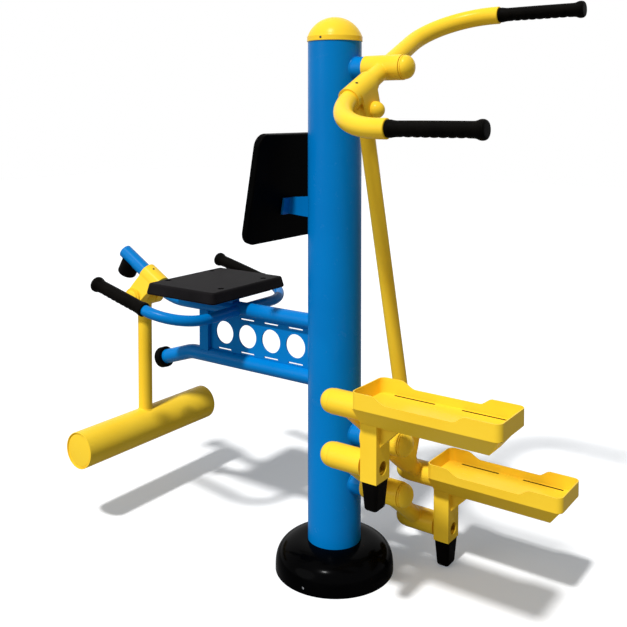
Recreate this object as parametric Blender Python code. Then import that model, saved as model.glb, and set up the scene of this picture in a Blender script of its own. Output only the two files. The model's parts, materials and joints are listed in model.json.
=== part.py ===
"""Outdoor fitness carousel: one post with a stepper and rocking handle on its +X side
and a leg-extension seat on its -X side.

Metres, +Z up. The origin is on the ground under the post. -Y is the near side.
The model stands at rest: near pedal up, far pedal down, near handle down, lever hanging.
"""
from math import acos, atan2, cos, hypot, pi, radians, sin, sqrt

import bmesh
import bpy
from mathutils import Matrix, Vector

for old in list(bpy.data.objects):
    bpy.data.objects.remove(old, do_unlink=True)

# Fits and facets
GAP = 0.0003             # between neighbours that touch
RUN_GAP = 0.0006         # round a part that turns
OVERRUN = 0.010          # how far a cutter passes the solid it cuts
WELD_SINK = 0.001        # how far one welded shape reaches into the next
MERGE = 0.000001         # doubled points of one shape
SIDES = 14
POST_SIDES = 28
BEVEL_STEPS = 5          # 14 sides round a bent tube
SHARP_ANGLE = radians(35)
BEND_STEP = radians(15)

# Post, cap and foot
POST_RADIUS = 0.070
POST_WALL = 0.004
CAP_RIM_HEIGHT = 1.3863
CAP_SKIRT_WALL = 0.0018
CAP_BAND = 0.0135
CAP_RISE = 0.0504
CAP_WALL = 0.003
CAP_LEDGE = 0.0015
FLANGE_RADIUS = 0.125
FLANGE_THICKNESS = 0.010
ANCHOR_CIRCLE = 0.102
ANCHOR_HOLE = 0.009
RIB_COUNT = 4
RIB_THICKNESS = 0.006
RIB_HEIGHT = 0.050
RIB_TIP = 0.008
COVER_RADIUS = 0.156
COVER_HEIGHT = 0.080
COVER_WALL = 0.003
COVER_LIP = 0.004
COVER_RISE_POWER = 3.182
COVER_BULGE_POWER = 2.095
COVER_STEPS = 6
COVER_INNER_STEPS = 4

# The three hubs on the +X side
HANDLE_HUB_DROP = 0.0717 # below the cap's rim
UPPER_HUB_HEIGHT = 0.3745
LOWER_HUB_HEIGHT = 0.2454
HUB_RADIUS = 0.0301
HUB_SLEEVE_RADIUS = 0.0318
HUB_BORE = 0.0260
STUB_END = 0.0966
HUB_START_GAP = 0.0007
HUB_END = 0.2037
AXLE_RADIUS = 0.0125
BEARING_WIDTH = 0.015
BEARING_INSET = 0.002
SPACER_WALL = 0.003
NUT_FLANGE_RADIUS = 0.0185
NUT_FLANGE = 0.003
NUT_RADIUS = 0.0173
NUT_HEIGHT = 0.012
HUB_CAP_RADIUS = 0.0302
HUB_CAP_TIP = 0.2325
HUB_CAP_WALL = 0.0025
HUB_CAP_PLUG = 0.0065
HUB_CAP_GROOVE = 0.0012
HUB_CAP_BAND = 0.0054
DOME_STEPS = 3
HOLLOW_STEPS = 2

# Stepper rockers
STEP_TILT = radians(38.25)
STEP_ARM = 0.2318
STEP_ARM_RADIUS = 0.0210
ARM_X = 0.1500
SLEEVE_RADIUS = 0.0301
SLEEVE_START = 0.1216
SLEEVE_END = 0.2093
PIN_RADIUS = 0.0125
PIN_HEAD_RADIUS = 0.0290
PIN_HEAD_BAND = 0.004
PIN_HEAD_RISE = 0.028

# Pedals, in a frame whose origin is on the upper pivot
BRACKET_START = 0.2142
BRACKET_END = 0.2576
BRACKET_DEPTH = 0.0590
BRACKET_FOOT = 0.0308    # below the lower pivot
BOSS_RADIUS = 0.0190
PIN_END_INSET = 0.005
PIN_END_HOLE = 0.0161
BLIND_END = 0.006
GUSSET_LEG = 0.052
GUSSET_HALF = 0.014
SOCKET_DEPTH = 0.015
SOCKET_WALL = 0.0045
TRAY_START = 0.2124
TRAY_LENGTH = 0.3592
TRAY_HALF_WIDTH = 0.0695
TRAY_BOTTOM = 0.0196
TRAY_SHEET = 0.003
TRAY_CORNER = 0.017
TRAY_RIM = 0.0385
TRAY_DIP = 0.0157
DIP_START = 0.0530
DIP_END = 0.2516
DIP_SLOPE_IN = 0.0385
DIP_SLOPE_OUT = 0.0298
SLOT_WIDTH = 0.0036
SLOT_INSET = 0.010
SLOT_LENGTH = 0.1020
SLOT_FIRST = 0.0354
SLOT_PITCH = 0.1722
CHANNEL_INSET = 0.0032
CHANNEL_BOTTOM = 0.0252  # below the upper pivot
CHANNEL_LOW_HALF = 0.0301
CHANNEL_SHEET = 0.003
CHANNEL_END_INSET = 0.007
CHANNEL_END_SLOPE = 0.034
BUMPER_HEIGHT = 0.0683
BUMPER_INSET = 0.0012
BUMPER_FOOT_SHARE = 0.93
BUMPER_CORNER = 0.006
BUMPER_FOOT_CORNER = 0.015
BUMPER_EDGE = 0.008

# Rocking handle
HANDLE_TILT = radians(26.7)
HANDLE_TUBE_RADIUS = 0.0230
HANDLE_REACH = 0.3245
HANDLE_BEND = 0.135
GRIP_RADIUS = 0.0178
GRIP_CUFF_RADIUS = 0.0196
GRIP_CUFF = 0.010
GRIP_FLARE_RADIUS = 0.0222
GRIP_FLARE = 0.016
GRIP_END_WALL = 0.004
GRIP_BLEND = 0.012
GRIP_SIDES = 14
GRIP_TUBE_RADIUS = 0.0147
HANDLE_GRIP_START = 0.3304
HANDLE_GRIP_END = 0.5560

# Link rod and its two clevis straps
LINK_X = 0.1512
LINK_RADIUS = 0.0189
LINK_EYE_RADIUS = 0.0165
LINK_EYE_GAP = 0.0007
LINK_PIN_RADIUS = 0.008
CHEEK_SPREAD = 0.0235    # from the rod's centre to a cheek's inner face
CHEEK_THICKNESS = 0.006
TOP_COLLAR_WALL = 0.0034
LOW_COLLAR_WALL = 0.0072
COLLAR_LENGTH = 0.098
LINK_HEAD_RADIUS = 0.021
LINK_HEAD_BAND = 0.004
LINK_HEAD_RISE = 0.022
TOP_EYE_OUT = 0.002      # beyond the collar's middle
TOP_EYE_DROP = 0.050
TOP_COLLAR_CLEAR = 0.0075 # from the collar to the arm's bend
TOP_STRAP_HALF = 0.036
TOP_STRAP_END = 0.031
LOW_EYE_REACH = 0.0865
LOW_EYE_RISE = 0.0727
LOW_COLLAR_REACH = 0.108
LOW_STRAP_HALF = 0.036
LOW_STRAP_END = 0.034
STRAP_ARC_STEPS = 8

# Seat beam
TUBE_RADIUS = 0.0212
UPPER_TUBE_HEIGHT = 0.6440
BEAM_SPACING = 0.1505    # between the two tubes' axes
UPPER_TUBE_TURN = -0.5943
BOOM_RISE = radians(30.46)
BOOM_BEND = 0.200
BOOM_LENGTH = 0.2395
LOWER_TUBE_TURN = -0.5124
LOWER_TUBE_FALL = radians(18)
LOWER_TUBE_BEND = 0.100
LOWER_TUBE_TAIL = 0.1119
WEB_THICKNESS = 0.005
WEB_HOLES = 4
WEB_HOLE_RADIUS = 0.0328
WEB_HOLE_FIRST = -0.1270
WEB_HOLE_PITCH = 0.0850
WEB_SLOT_LENGTH = 0.0504
WEB_SLOT_WIDTH = 0.0044
WEB_SLOT_CORNER_SHARE = 0.98
WEB_SLOT_EDGE = 0.0058
END_BAR_START = -0.4351
END_BAR_WIDTH = 0.0338
END_BAR_DEPTH = 0.0300

# Seat, backrest and seat handles
SEAT_LOW = -0.5450
SEAT_HIGH = -0.2821
SEAT_HALF_WIDTH = 0.1600
SEAT_LIFT = 0.0433       # above the upper tube's axis
SEAT_THICKNESS = 0.0319
SEAT_TAPER = 0.0062
SEAT_CORNER = 0.015
SEAT_EDGE = 0.005
SEAT_SCREW_INNER = 0.3150
SEAT_SCREW_OUTER = 0.5180
SEAT_SCREW_Y = 0.0924
SEAT_SCREW_RADIUS = 0.008
SEAT_SCREW_DEPTH = 0.006
MOUNT_MARGIN = 0.015
MOUNT_PLATE = 0.005
SADDLE_WIDTH = 0.030
SADDLE_INSET = 0.040
SEAT_HANDLE_X = -0.3228
SEAT_HANDLE_LIFT = -0.0011
SEAT_HANDLE_HALF = 0.2558
SEAT_HANDLE_BEND = 0.119
SEAT_HANDLE_RISE = radians(14.19)
SEAT_HANDLE_LENGTH = 0.3270
SEAT_GRIP_LENGTH = 0.2035
PAD_MIDDLE_HEIGHT = 1.0014
PAD_BACK_X = -0.1425
PAD_RECLINE = radians(10.1)
PAD_HALF_WIDTH = 0.1600
PAD_HEIGHT = 0.2942
PAD_THICKNESS = 0.0224
PAD_CORNER = 0.034
PAD_EDGE = 0.005
PAD_BRACKET_HEIGHT = 0.9520
PAD_BRACKET_DEPTH = 0.0450
PAD_BRACKET_ROOT = 0.0580
PAD_BRACKET_PLATE = 0.006
PAD_BRACKET_FLANGE = 0.060

# Leg lever
PIVOT_REACH = 0.0988     # along the boom from where the beam turns
PIVOT_BELOW = 0.0680     # square to the boom
LEVER_HUB_HALF = 0.0217
LEVER_HUB_RADIUS = 0.0301
LEVER_SLOT_HALF = 0.0226
LEVER_SLOT_TOP = 0.0345
FORK_HALF = 0.0532
FORK_NECK_HALF = 0.0290
FORK_NECK_TOP = 0.016
BOOM_COLLAR_START = 0.056
BOOM_COLLAR_LENGTH = 0.070
BOOM_COLLAR_RADIUS = 0.0310
LEVER_PIN_RADIUS = 0.010
LEVER_HEAD_RADIUS = 0.0235
LEVER_HEAD_RISE = 0.0075
ROLLER_DROP = 0.4071
ROLLER_RADIUS = 0.0529
ROLLER_WALL = 0.003
ROLLER_HALF = 0.2610
ROLLER_DISC = 0.005
ROLLER_DISC_INSET = 0.004
ROLLER_RING_WIDTH = 0.002
ROLLER_RING_DEPTH = 0.0015
FRONT_STOP_REACH = 0.2000
FRONT_STOP_RADIUS = 0.0294
FRONT_STOP_THICKNESS = 0.0364
BACK_STOP_RADIUS = 0.0308
BACK_STOP_THICKNESS = 0.0250
STOP_EDGE = 0.004

# Places that follow from the sizes above
CAP_RADIUS = POST_RADIUS + GAP + CAP_SKIRT_WALL
CAP_SHOULDER = CAP_RIM_HEIGHT + CAP_BAND - CAP_LEDGE
HANDLE_HUB_HEIGHT = CAP_RIM_HEIGHT - HANDLE_HUB_DROP
HUB_START = STUB_END + HUB_START_GAP
PEDAL_DROP = UPPER_HUB_HEIGHT - LOWER_HUB_HEIGHT
BRACKET_BOTTOM = -PEDAL_DROP - BRACKET_FOOT
TRAY_END = TRAY_START + TRAY_LENGTH
CHEEK_OUTER = CHEEK_SPREAD + CHEEK_THICKNESS
TOP_COLLAR_REACH = HANDLE_REACH - HANDLE_BEND - TOP_COLLAR_CLEAR - COLLAR_LENGTH / 2
TOP_EYE = (-TOP_COLLAR_REACH - TOP_EYE_OUT, -TOP_EYE_DROP)
LOW_EYE = (LOW_EYE_REACH, LOW_EYE_RISE)
LOWER_TUBE_HEIGHT = UPPER_TUBE_HEIGHT - BEAM_SPACING
SEAT_BOTTOM = UPPER_TUBE_HEIGHT + SEAT_LIFT
SEAT_HANDLE_HEIGHT = UPPER_TUBE_HEIGHT + SEAT_HANDLE_LIFT
SEAT_SCREW_X = (-SEAT_SCREW_INNER, -SEAT_SCREW_OUTER)
BOOM_DIRECTION = Vector((-cos(BOOM_RISE), 0, sin(BOOM_RISE)))
BOOM_DOWN = Vector((-sin(BOOM_RISE), 0, -cos(BOOM_RISE)))
BEAM_TURN = Vector((UPPER_TUBE_TURN, 0, UPPER_TUBE_HEIGHT))
LEVER_PIVOT = BEAM_TURN + PIVOT_REACH * BOOM_DIRECTION + PIVOT_BELOW * BOOM_DOWN
X_AXIS = Vector((1, 0, 0))
Y_AXIS = Vector((0, 1, 0))
Z_AXIS = Vector((0, 0, 1))


def material(name, colour, roughness, metallic=0.0):
    """A plain Principled material."""
    made = bpy.data.materials.new(name)
    made.use_nodes = True
    shader = made.node_tree.nodes["Principled BSDF"]
    shader.inputs["Base Color"].default_value = (*colour, 1)
    shader.inputs["Roughness"].default_value = roughness
    shader.inputs["Metallic"].default_value = metallic
    return made


BLUE = (0.0, 0.165, 0.48)
YELLOW = (1.0, 0.60, 0.02)
BLACK = (0.006, 0.006, 0.007)
SEAT_BLACK = (0.012, 0.011, 0.013)
STEEL = (0.55, 0.56, 0.58)


def solid_from(bm):
    """A scene object from a bmesh, with merged points and outward faces."""
    bmesh.ops.remove_doubles(bm, verts=bm.verts, dist=MERGE)
    bmesh.ops.recalc_face_normals(bm, faces=bm.faces)
    mesh = bpy.data.meshes.new("solid")
    bm.to_mesh(mesh)
    bm.free()
    made = bpy.data.objects.new("solid", mesh)
    bpy.context.scene.collection.objects.link(made)
    return made


def turned(profile, start=(0, 0, 0), direction=Z_AXIS, sides=SIDES, ring=False):
    """Turn (distance, radius) points about the line from start along direction."""
    bm = bmesh.new()
    points = [bm.verts.new((radius, 0, distance)) for distance, radius in profile]
    pairs = list(zip(points, points[1:]))
    if ring:
        pairs.append((points[-1], points[0]))
    edges = [bm.edges.new(pair) for pair in pairs]
    bmesh.ops.spin(bm, geom=points + edges, cent=(0, 0, 0), axis=(0, 0, 1),
                   angle=2 * pi, steps=sides, use_merge=True)
    aim = Vector(direction).to_track_quat("Z", "Y").to_matrix().to_4x4()
    bm.transform(Matrix.Translation(Vector(start)) @ aim)
    return solid_from(bm)


def cylinder(start, end, radius, sides=SIDES):
    """A solid bar from start to end."""
    along = Vector(end) - Vector(start)
    profile = [(0, 0), (0, radius), (along.length, radius), (along.length, 0)]
    return turned(profile, start, along, sides)


def bore(start, end, radius, sides=SIDES):
    """A cutter whose flats, not its corners, lie at the radius."""
    return cylinder(start, end, radius / cos(pi / sides), sides)


def box(low, high):
    """A block between two corners."""
    low, high = Vector(low), Vector(high)
    bm = bmesh.new()
    bmesh.ops.create_cube(bm, size=1)
    bmesh.ops.scale(bm, vec=high - low, verts=bm.verts)
    bmesh.ops.translate(bm, vec=(low + high) / 2, verts=bm.verts)
    return solid_from(bm)


def slab(outline, low, high, axis="Y"):
    """Extrude a flat outline from low to high along an axis."""
    order = {"X": (2, 0, 1), "Y": (0, 2, 1), "Z": (0, 1, 2)}[axis]
    bm = bmesh.new()
    ring = []
    for across, up in outline:
        place = (across, up, low)
        ring.append(bm.verts.new([place[index] for index in order]))
    face = bm.faces.new(ring)
    extruded = bmesh.ops.extrude_face_region(bm, geom=[face])["geom"]
    moved = [item for item in extruded if isinstance(item, bmesh.types.BMVert)]
    step = Vector([(0, 0, high - low)[index] for index in order])
    bmesh.ops.translate(bm, vec=step, verts=moved)
    return solid_from(bm)


def loft(rings):
    """Join rings of points, each with the same count, and close both ends."""
    bm = bmesh.new()
    loops = []
    for ring in rings:
        points = [bm.verts.new(point) for point in ring]
        loops.append(points)
    for lower, upper in zip(loops, loops[1:]):
        for index, point in enumerate(lower):
            after = (index + 1) % len(lower)
            bm.faces.new((point, lower[after], upper[after], upper[index]))
    bm.faces.new(reversed(loops[0]))
    bm.faces.new(loops[-1])
    return solid_from(bm)


def arc(centre, radius, start, end, steps):
    """Points on a circle from one angle to another."""
    angles = [start + (end - start) * index / steps for index in range(steps + 1)]
    return [(centre[0] + radius * cos(angle), centre[1] + radius * sin(angle))
            for angle in angles]


def rounded_rectangle(half_length, half_width, corner, steps=3):
    """An outline about the origin with round corners."""
    points = []
    for turn, (side, end) in enumerate(((1, 1), (-1, 1), (-1, -1), (1, -1))):
        centre = (side * (half_length - corner), end * (half_width - corner))
        points += arc(centre, corner, turn * pi / 2, (turn + 1) * pi / 2, steps)
    return points


def dome(base, radius, rise, steps=DOME_STEPS):
    """(distance, radius) points from a dome's base to its tip."""
    angles = [pi / 2 * index / steps for index in range(1, steps)]
    body = [(base + rise * sin(angle), radius * cos(angle)) for angle in angles]
    return [(base, radius)] + body + [(base + rise, 0)]


def centre_line(corners, bend):
    """Points along straight runs whose corners are rounded to one bend radius."""
    corners = [Vector(corner) for corner in corners]
    points = [corners[0]]
    for before, corner, after in zip(corners, corners[1:], corners[2:]):
        back = (before - corner).normalized()
        ahead = (after - corner).normalized()
        turn = pi - back.angle(ahead)
        inward = (back + ahead).normalized()
        centre = corner + inward * bend / cos(turn / 2)
        axis = back.cross(ahead).normalized()
        spoke = corner + back * bend * sin(turn / 2) / cos(turn / 2) - centre
        steps = max(2, round(turn / BEND_STEP))
        for index in range(steps + 1):
            points.append(centre + Matrix.Rotation(-turn * index / steps, 3, axis) @ spoke)
    return points + [corners[-1]]


def bent_tube(corners, bend, radius):
    """A bar along rounded corners, as a curve with a round bevel and filled ends."""
    points = centre_line(corners, bend)
    curve = bpy.data.curves.new("run", "CURVE")
    curve.dimensions = "3D"
    curve.bevel_depth = radius
    curve.bevel_resolution = BEVEL_STEPS
    curve.use_fill_caps = True
    spline = curve.splines.new("POLY")
    spline.points.add(len(points) - 1)
    for control, point in zip(spline.points, points):
        control.co = (*point, 1)
    guide = bpy.data.objects.new("run", curve)
    bpy.context.scene.collection.objects.link(guide)
    mesh = bpy.data.meshes.new_from_object(
        guide.evaluated_get(bpy.context.evaluated_depsgraph_get()))
    bpy.data.objects.remove(guide, do_unlink=True)
    bm = bmesh.new()
    bm.from_mesh(mesh)
    bpy.data.meshes.remove(mesh)
    return solid_from(bm)


def combine(solid, others, operation):
    """Apply one Boolean per other solid and remove the others."""
    for other in others:
        modifier = solid.modifiers.new("boolean", "BOOLEAN")
        modifier.operation = operation
        modifier.solver = "EXACT"
        modifier.object = other
        evaluated = solid.evaluated_get(bpy.context.evaluated_depsgraph_get())
        made = bpy.data.meshes.new_from_object(evaluated)
        solid.modifiers.clear()
        bm = bmesh.new()
        bm.from_mesh(made)
        bmesh.ops.remove_doubles(bm, verts=bm.verts, dist=MERGE)
        bm.to_mesh(made)
        bm.free()
        solid.data = made
        bpy.data.objects.remove(other, do_unlink=True)
    return solid


def weld(solid, *others):
    """Unite solids that are welded or moulded together."""
    return combine(solid, others, "UNION")


def cut(solid, *others):
    """Take other solids away from this one."""
    return combine(solid, others, "DIFFERENCE")


def piece(solid, name, colour, roughness, metallic=0.0, pivot=None):
    """Name a finished solid, give it its material and hang it on its pivot."""
    solid.name = name
    solid.data.name = name
    solid.data.materials.clear()
    solid.data.materials.append(material(name, colour, roughness, metallic))
    solid.data.shade_smooth()
    solid.data.set_sharp_from_angle(angle=SHARP_ANGLE)
    if pivot is not None:
        solid.parent = pivot
    return solid


def painted(solid, name, colour, pivot=None):
    """Powder-coated steel."""
    return piece(solid, name, colour, 0.30, pivot=pivot)


def rubber(solid, name, pivot=None):
    """Black rubber or glossy black plastic."""
    return piece(solid, name, BLACK, 0.35, pivot=pivot)


def steel(solid, name, pivot=None):
    """Bright turned steel."""
    return piece(solid, name, STEEL, 0.35, 1.0, pivot=pivot)


def pivot_at(name, place, turn=0.0, parent=None):
    """An empty on a joint's axis, turned about X to the rest pose."""
    made = bpy.data.objects.new(name, None)
    bpy.context.scene.collection.objects.link(made)
    made.location = place
    made.rotation_euler = (turn, 0, 0)
    made.parent = parent
    return made


def post_cutter(extra=GAP):
    """The post's outside with a gap, for coping what is welded to it."""
    low, high = (0, 0, -OVERRUN), (0, 0, CAP_RIM_HEIGHT)
    return bore(low, high, POST_RADIUS + extra, POST_SIDES)


# Post and foot
def build_post():
    """The tube, its cap, the base flange and the cover over it."""
    bottom = FLANGE_THICKNESS + GAP
    top = CAP_SHOULDER - GAP
    inner = POST_RADIUS - POST_WALL
    profile = [(bottom, inner), (bottom, POST_RADIUS), (top, POST_RADIUS), (top, inner)]
    painted(turned(profile, sides=POST_SIDES, ring=True), "post", BLUE)

    apex = CAP_RIM_HEIGHT + CAP_BAND + CAP_RISE
    inside = CAP_RADIUS - CAP_SKIRT_WALL
    sphere = (CAP_RADIUS ** 2 + CAP_RISE ** 2) / (2 * CAP_RISE)
    hollow_base = inside - CAP_LEDGE
    hollow_rise = apex - CAP_WALL - CAP_SHOULDER
    hollow = (hollow_base ** 2 + hollow_rise ** 2) / (2 * hollow_rise)
    profile = sphere_profile(hollow, hollow_base, CAP_SHOULDER, DOME_STEPS)[::-1]
    profile += [(CAP_SHOULDER, inside), (CAP_RIM_HEIGHT, inside), (CAP_RIM_HEIGHT, CAP_RADIUS)]
    profile += sphere_profile(sphere, CAP_RADIUS, CAP_RIM_HEIGHT + CAP_BAND, 2 * DOME_STEPS)
    painted(turned(profile, sides=POST_SIDES), "post_cap", YELLOW)

    flange = cylinder((0, 0, 0), (0, 0, FLANGE_THICKNESS), FLANGE_RADIUS, POST_SIDES)
    for index in range(RIB_COUNT):
        spin = Matrix.Rotation(2 * pi * index / RIB_COUNT, 4, "Z")
        floor = FLANGE_THICKNESS - WELD_SINK
        near, far = POST_RADIUS + GAP, FLANGE_RADIUS - RIB_TIP
        outline = [(near, floor), (far, floor), (far, FLANGE_THICKNESS + RIB_TIP),
                   (near + RIB_TIP, FLANGE_THICKNESS + RIB_HEIGHT),
                   (near, FLANGE_THICKNESS + RIB_HEIGHT)]
        rib = slab(outline, -RIB_THICKNESS / 2, RIB_THICKNESS / 2)
        rib.data.transform(spin)
        hole = bore((ANCHOR_CIRCLE, 0, -OVERRUN),
                    (ANCHOR_CIRCLE, 0, FLANGE_THICKNESS + OVERRUN), ANCHOR_HOLE, SIDES // 2)
        hole.data.transform(spin @ Matrix.Rotation(pi / RIB_COUNT, 4, "Z"))
        flange = cut(weld(flange, rib), hole)
    piece(flange, "base_flange", BLUE, 0.4)

    hole = POST_RADIUS + GAP
    neck = hole + COVER_LIP
    outer = cover_profile(neck, COVER_RADIUS, COVER_HEIGHT, COVER_STEPS)
    inner = cover_profile(neck, COVER_RADIUS - COVER_WALL, COVER_HEIGHT - COVER_WALL,
                          COVER_INNER_STEPS)
    profile = outer + [(COVER_HEIGHT, hole), (COVER_HEIGHT - COVER_WALL, hole)] + inner[::-1]
    cover = turned(profile, sides=POST_SIDES, ring=True)
    piece(cover, "base_cover", BLACK, 0.12)


def sphere_profile(sphere, base_radius, base, steps):
    """(height, radius) points of a spherical cap from its base to its tip."""
    edge = atan2(base_radius, sqrt(sphere ** 2 - base_radius ** 2))
    centre = base - sphere * cos(edge)
    angles = [edge * (1 - index / steps) for index in range(steps)]
    body = [(centre + sphere * cos(angle), sphere * sin(angle)) for angle in angles]
    return body + [(centre + sphere, 0)]


def cover_profile(neck, radius, height, steps):
    """The cover's bulge, a quarter of a superellipse from the ground to its neck."""
    points = []
    for index in range(steps + 1):
        angle = pi / 2 * index / steps
        up = max(sin(angle), 0) ** (2 / COVER_RISE_POWER)
        out = max(cos(angle), 0) ** (2 / COVER_BULGE_POWER)
        points.append((height * up, neck + (radius - neck) * out))
    return points


# Hubs
def build_hub_core(prefix, height):
    """The fixed stub, the axle with its nut and the bearing pair of one hub."""
    stub = cylinder((POST_RADIUS / 2, 0, height), (STUB_END, 0, height), HUB_RADIUS)
    hole = bore((0, 0, height), (STUB_END + OVERRUN, 0, height), AXLE_RADIUS + GAP)
    painted(cut(stub, post_cutter(), hole), prefix + "_stub", BLUE)

    pair_end = HUB_END - HUB_CAP_PLUG - BEARING_INSET
    pair_start = HUB_START + BEARING_INSET
    ring, hole = HUB_BORE - RUN_GAP, AXLE_RADIUS + GAP
    sleeve = hole + SPACER_WALL
    profile = [(pair_start, hole), (pair_start, ring), (pair_start + BEARING_WIDTH, ring),
               (pair_start + BEARING_WIDTH, sleeve), (pair_end - BEARING_WIDTH, sleeve),
               (pair_end - BEARING_WIDTH, ring), (pair_end, ring), (pair_end, hole)]
    steel(turned(profile, (0, 0, height), X_AXIS, ring=True), prefix + "_bearings")

    nut = pair_end + GAP
    start = POST_RADIUS + GAP
    profile = [(start, 0), (start, AXLE_RADIUS), (nut, AXLE_RADIUS), (nut, NUT_FLANGE_RADIUS),
               (nut + NUT_FLANGE, NUT_FLANGE_RADIUS), (nut + NUT_FLANGE, 0)]
    axle = turned(profile, (0, 0, height), X_AXIS)
    hexagon = cylinder((nut + NUT_FLANGE - WELD_SINK, 0, height),
                       (nut + NUT_FLANGE + NUT_HEIGHT, 0, height), NUT_RADIUS, 6)
    steel(weld(axle, hexagon), prefix + "_axle")


def hub_sleeve():
    """The turning sleeve of a hub, still without its bore."""
    return cylinder((HUB_START, 0, 0), (HUB_END, 0, 0), HUB_SLEEVE_RADIUS)


def hub_bore():
    """The cutter for a hub's bearing bore."""
    return bore((HUB_START - OVERRUN, 0, 0), (HUB_END + OVERRUN, 0, 0), HUB_BORE)


def build_hub_cap(name, pivot):
    """The hollow domed cap that plugs a hub, with a groove against the sleeve."""
    plug = HUB_BORE - GAP
    inner = plug - HUB_CAP_WALL
    rim = HUB_END + HUB_CAP_GROOVE
    band = rim + HUB_CAP_BAND
    rise = HUB_CAP_TIP - band
    hollow = dome(band, inner, rise - HUB_CAP_WALL, HOLLOW_STEPS)[::-1]
    profile = hollow + [(HUB_END - HUB_CAP_PLUG, inner), (HUB_END - HUB_CAP_PLUG, plug),
                        (HUB_END + GAP, plug), (rim, plug), (rim, HUB_CAP_RADIUS)]
    profile += dome(band, HUB_CAP_RADIUS, rise)
    painted(turned(profile, direction=X_AXIS), name, YELLOW, pivot)


# Stepper
def clevis_strap(arm_radius, wall, middle, eye, half, end_radius):
    """A collar round an arm along Y with two cheeks that reach to the eye of the link rod."""
    outer = arm_radius + GAP + wall
    low, high = middle - COLLAR_LENGTH / 2, middle + COLLAR_LENGTH / 2
    strap = cylinder((ARM_X, low, 0), (ARM_X, high, 0), outer)
    outline = strap_outline(middle, half, eye, end_radius)
    inner_face, outer_face = CHEEK_SPREAD, CHEEK_OUTER
    for near, far in ((-outer_face, -inner_face), (inner_face, outer_face)):
        strap = weld(strap, slab(outline, LINK_X + near, LINK_X + far, "X"))
    return strap


def arm_bore(arm_radius, middle):
    """The cutter that lets a clevis collar slide on its arm."""
    reach = COLLAR_LENGTH / 2 + OVERRUN
    return bore((ARM_X, middle - reach, 0), (ARM_X, middle + reach, 0), arm_radius + GAP)


def strap_outline(middle, half, eye, end_radius):
    """A cheek: a base on the arm's axis and a round end about the eye, joined by tangents."""
    side = 1 if eye[1] > 0 else -1
    tangents = []
    for end in (half, -half):
        across, up = middle + end - eye[0], -eye[1] * side
        spread = acos(end_radius / hypot(across, up))
        tangents.append(atan2(up, across) + (spread if end > 0 else -spread))
    if tangents[1] < tangents[0]:
        tangents[1] += 2 * pi
    round_end = arc((0, 0), end_radius, tangents[0], tangents[1], STRAP_ARC_STEPS)
    points = [(middle - half, 0), (middle + half, 0)]
    return points + [(eye[0] + across, eye[1] + side * up) for across, up in round_end]


def rocker():
    """A stepper rocker: hub, one straight arm through it and a sleeve at each end."""
    ends = (-STEP_ARM, STEP_ARM)
    frame = hub_sleeve()
    arm = cylinder((ARM_X, ends[0], 0), (ARM_X, ends[1], 0), STEP_ARM_RADIUS)
    frame = weld(frame, arm)
    for end in ends:
        frame = weld(frame, cylinder((SLEEVE_START, end, 0), (SLEEVE_END, end, 0), SLEEVE_RADIUS))
    frame = cut(frame, hub_bore())
    for end in ends:
        frame = cut(frame, bore((SLEEVE_START - OVERRUN, end, 0),
                                (SLEEVE_END + OVERRUN, end, 0), PIN_RADIUS + RUN_GAP))
    return frame


def build_stepper():
    """Two parallel rockers, the strap for the link rod and the two pedals."""
    upper = pivot_at("upper_rocker_pivot", (0, 0, UPPER_HUB_HEIGHT), -STEP_TILT)
    lower = pivot_at("lower_rocker_pivot", (0, 0, LOWER_HUB_HEIGHT), -STEP_TILT)
    painted(rocker(), "upper_rocker", YELLOW, upper)
    painted(rocker(), "lower_rocker", YELLOW, lower)
    build_hub_cap("upper_hub_cap", upper)
    build_hub_cap("lower_hub_cap", lower)

    strap = clevis_strap(STEP_ARM_RADIUS, LOW_COLLAR_WALL, LOW_COLLAR_REACH, LOW_EYE,
                         LOW_STRAP_HALF, LOW_STRAP_END)
    for side in (-1, 1):
        base = LINK_X + side * (CHEEK_OUTER - WELD_SINK)
        strap = weld(strap, turned(link_head_profile(), (base, *LOW_EYE), side * X_AXIS))
    strap = cut(strap, arm_bore(STEP_ARM_RADIUS, LOW_COLLAR_REACH))
    painted(strap, "rod_clevis", YELLOW, upper)

    for side, name in ((-1, "near"), (1, "far")):
        pedal = pivot_at(name + "_pedal_pivot", (0, side * STEP_ARM, 0), STEP_TILT, upper)
        build_pedal(name, pedal)


def link_head_profile():
    """A domed pin head, from the centre of its flat face to its tip."""
    return [(0, 0), (0, LINK_HEAD_RADIUS)] + dome(LINK_HEAD_BAND, LINK_HEAD_RADIUS, LINK_HEAD_RISE)


def build_pedal(side, pivot):
    """One pedal: bracket and channel, tray, rubber foot and its two pivot pins."""
    top = TRAY_BOTTOM - GAP
    bracket = pedal_bracket(top)
    painted(bracket, side + "_pedal_bracket", YELLOW, pivot)
    painted(pedal_tray(), side + "_pedal_tray", YELLOW, pivot)
    rubber(pedal_bumper(), side + "_pedal_bumper", pivot)
    upper_end = BRACKET_END - BLIND_END - GAP
    lower_end = BRACKET_END - PIN_END_INSET
    painted(pivot_pin(0, upper_end), side + "_upper_pin", YELLOW, pivot)
    painted(pivot_pin(-PEDAL_DROP, lower_end), side + "_lower_pin", YELLOW, pivot)


def pivot_pin(height, end):
    """A pin with a domed head that closes the rocker sleeve's inner end."""
    seat = SLEEVE_START - RUN_GAP
    base = seat - PIN_HEAD_BAND
    head = [(-distance, radius) for distance, radius in
            dome(-base, PIN_HEAD_RADIUS, PIN_HEAD_RISE)]
    profile = head[::-1] + [(seat, PIN_HEAD_RADIUS), (seat, PIN_RADIUS), (end, PIN_RADIUS),
                            (end, 0)]
    return turned(profile, (0, 0, height), X_AXIS)


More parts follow.
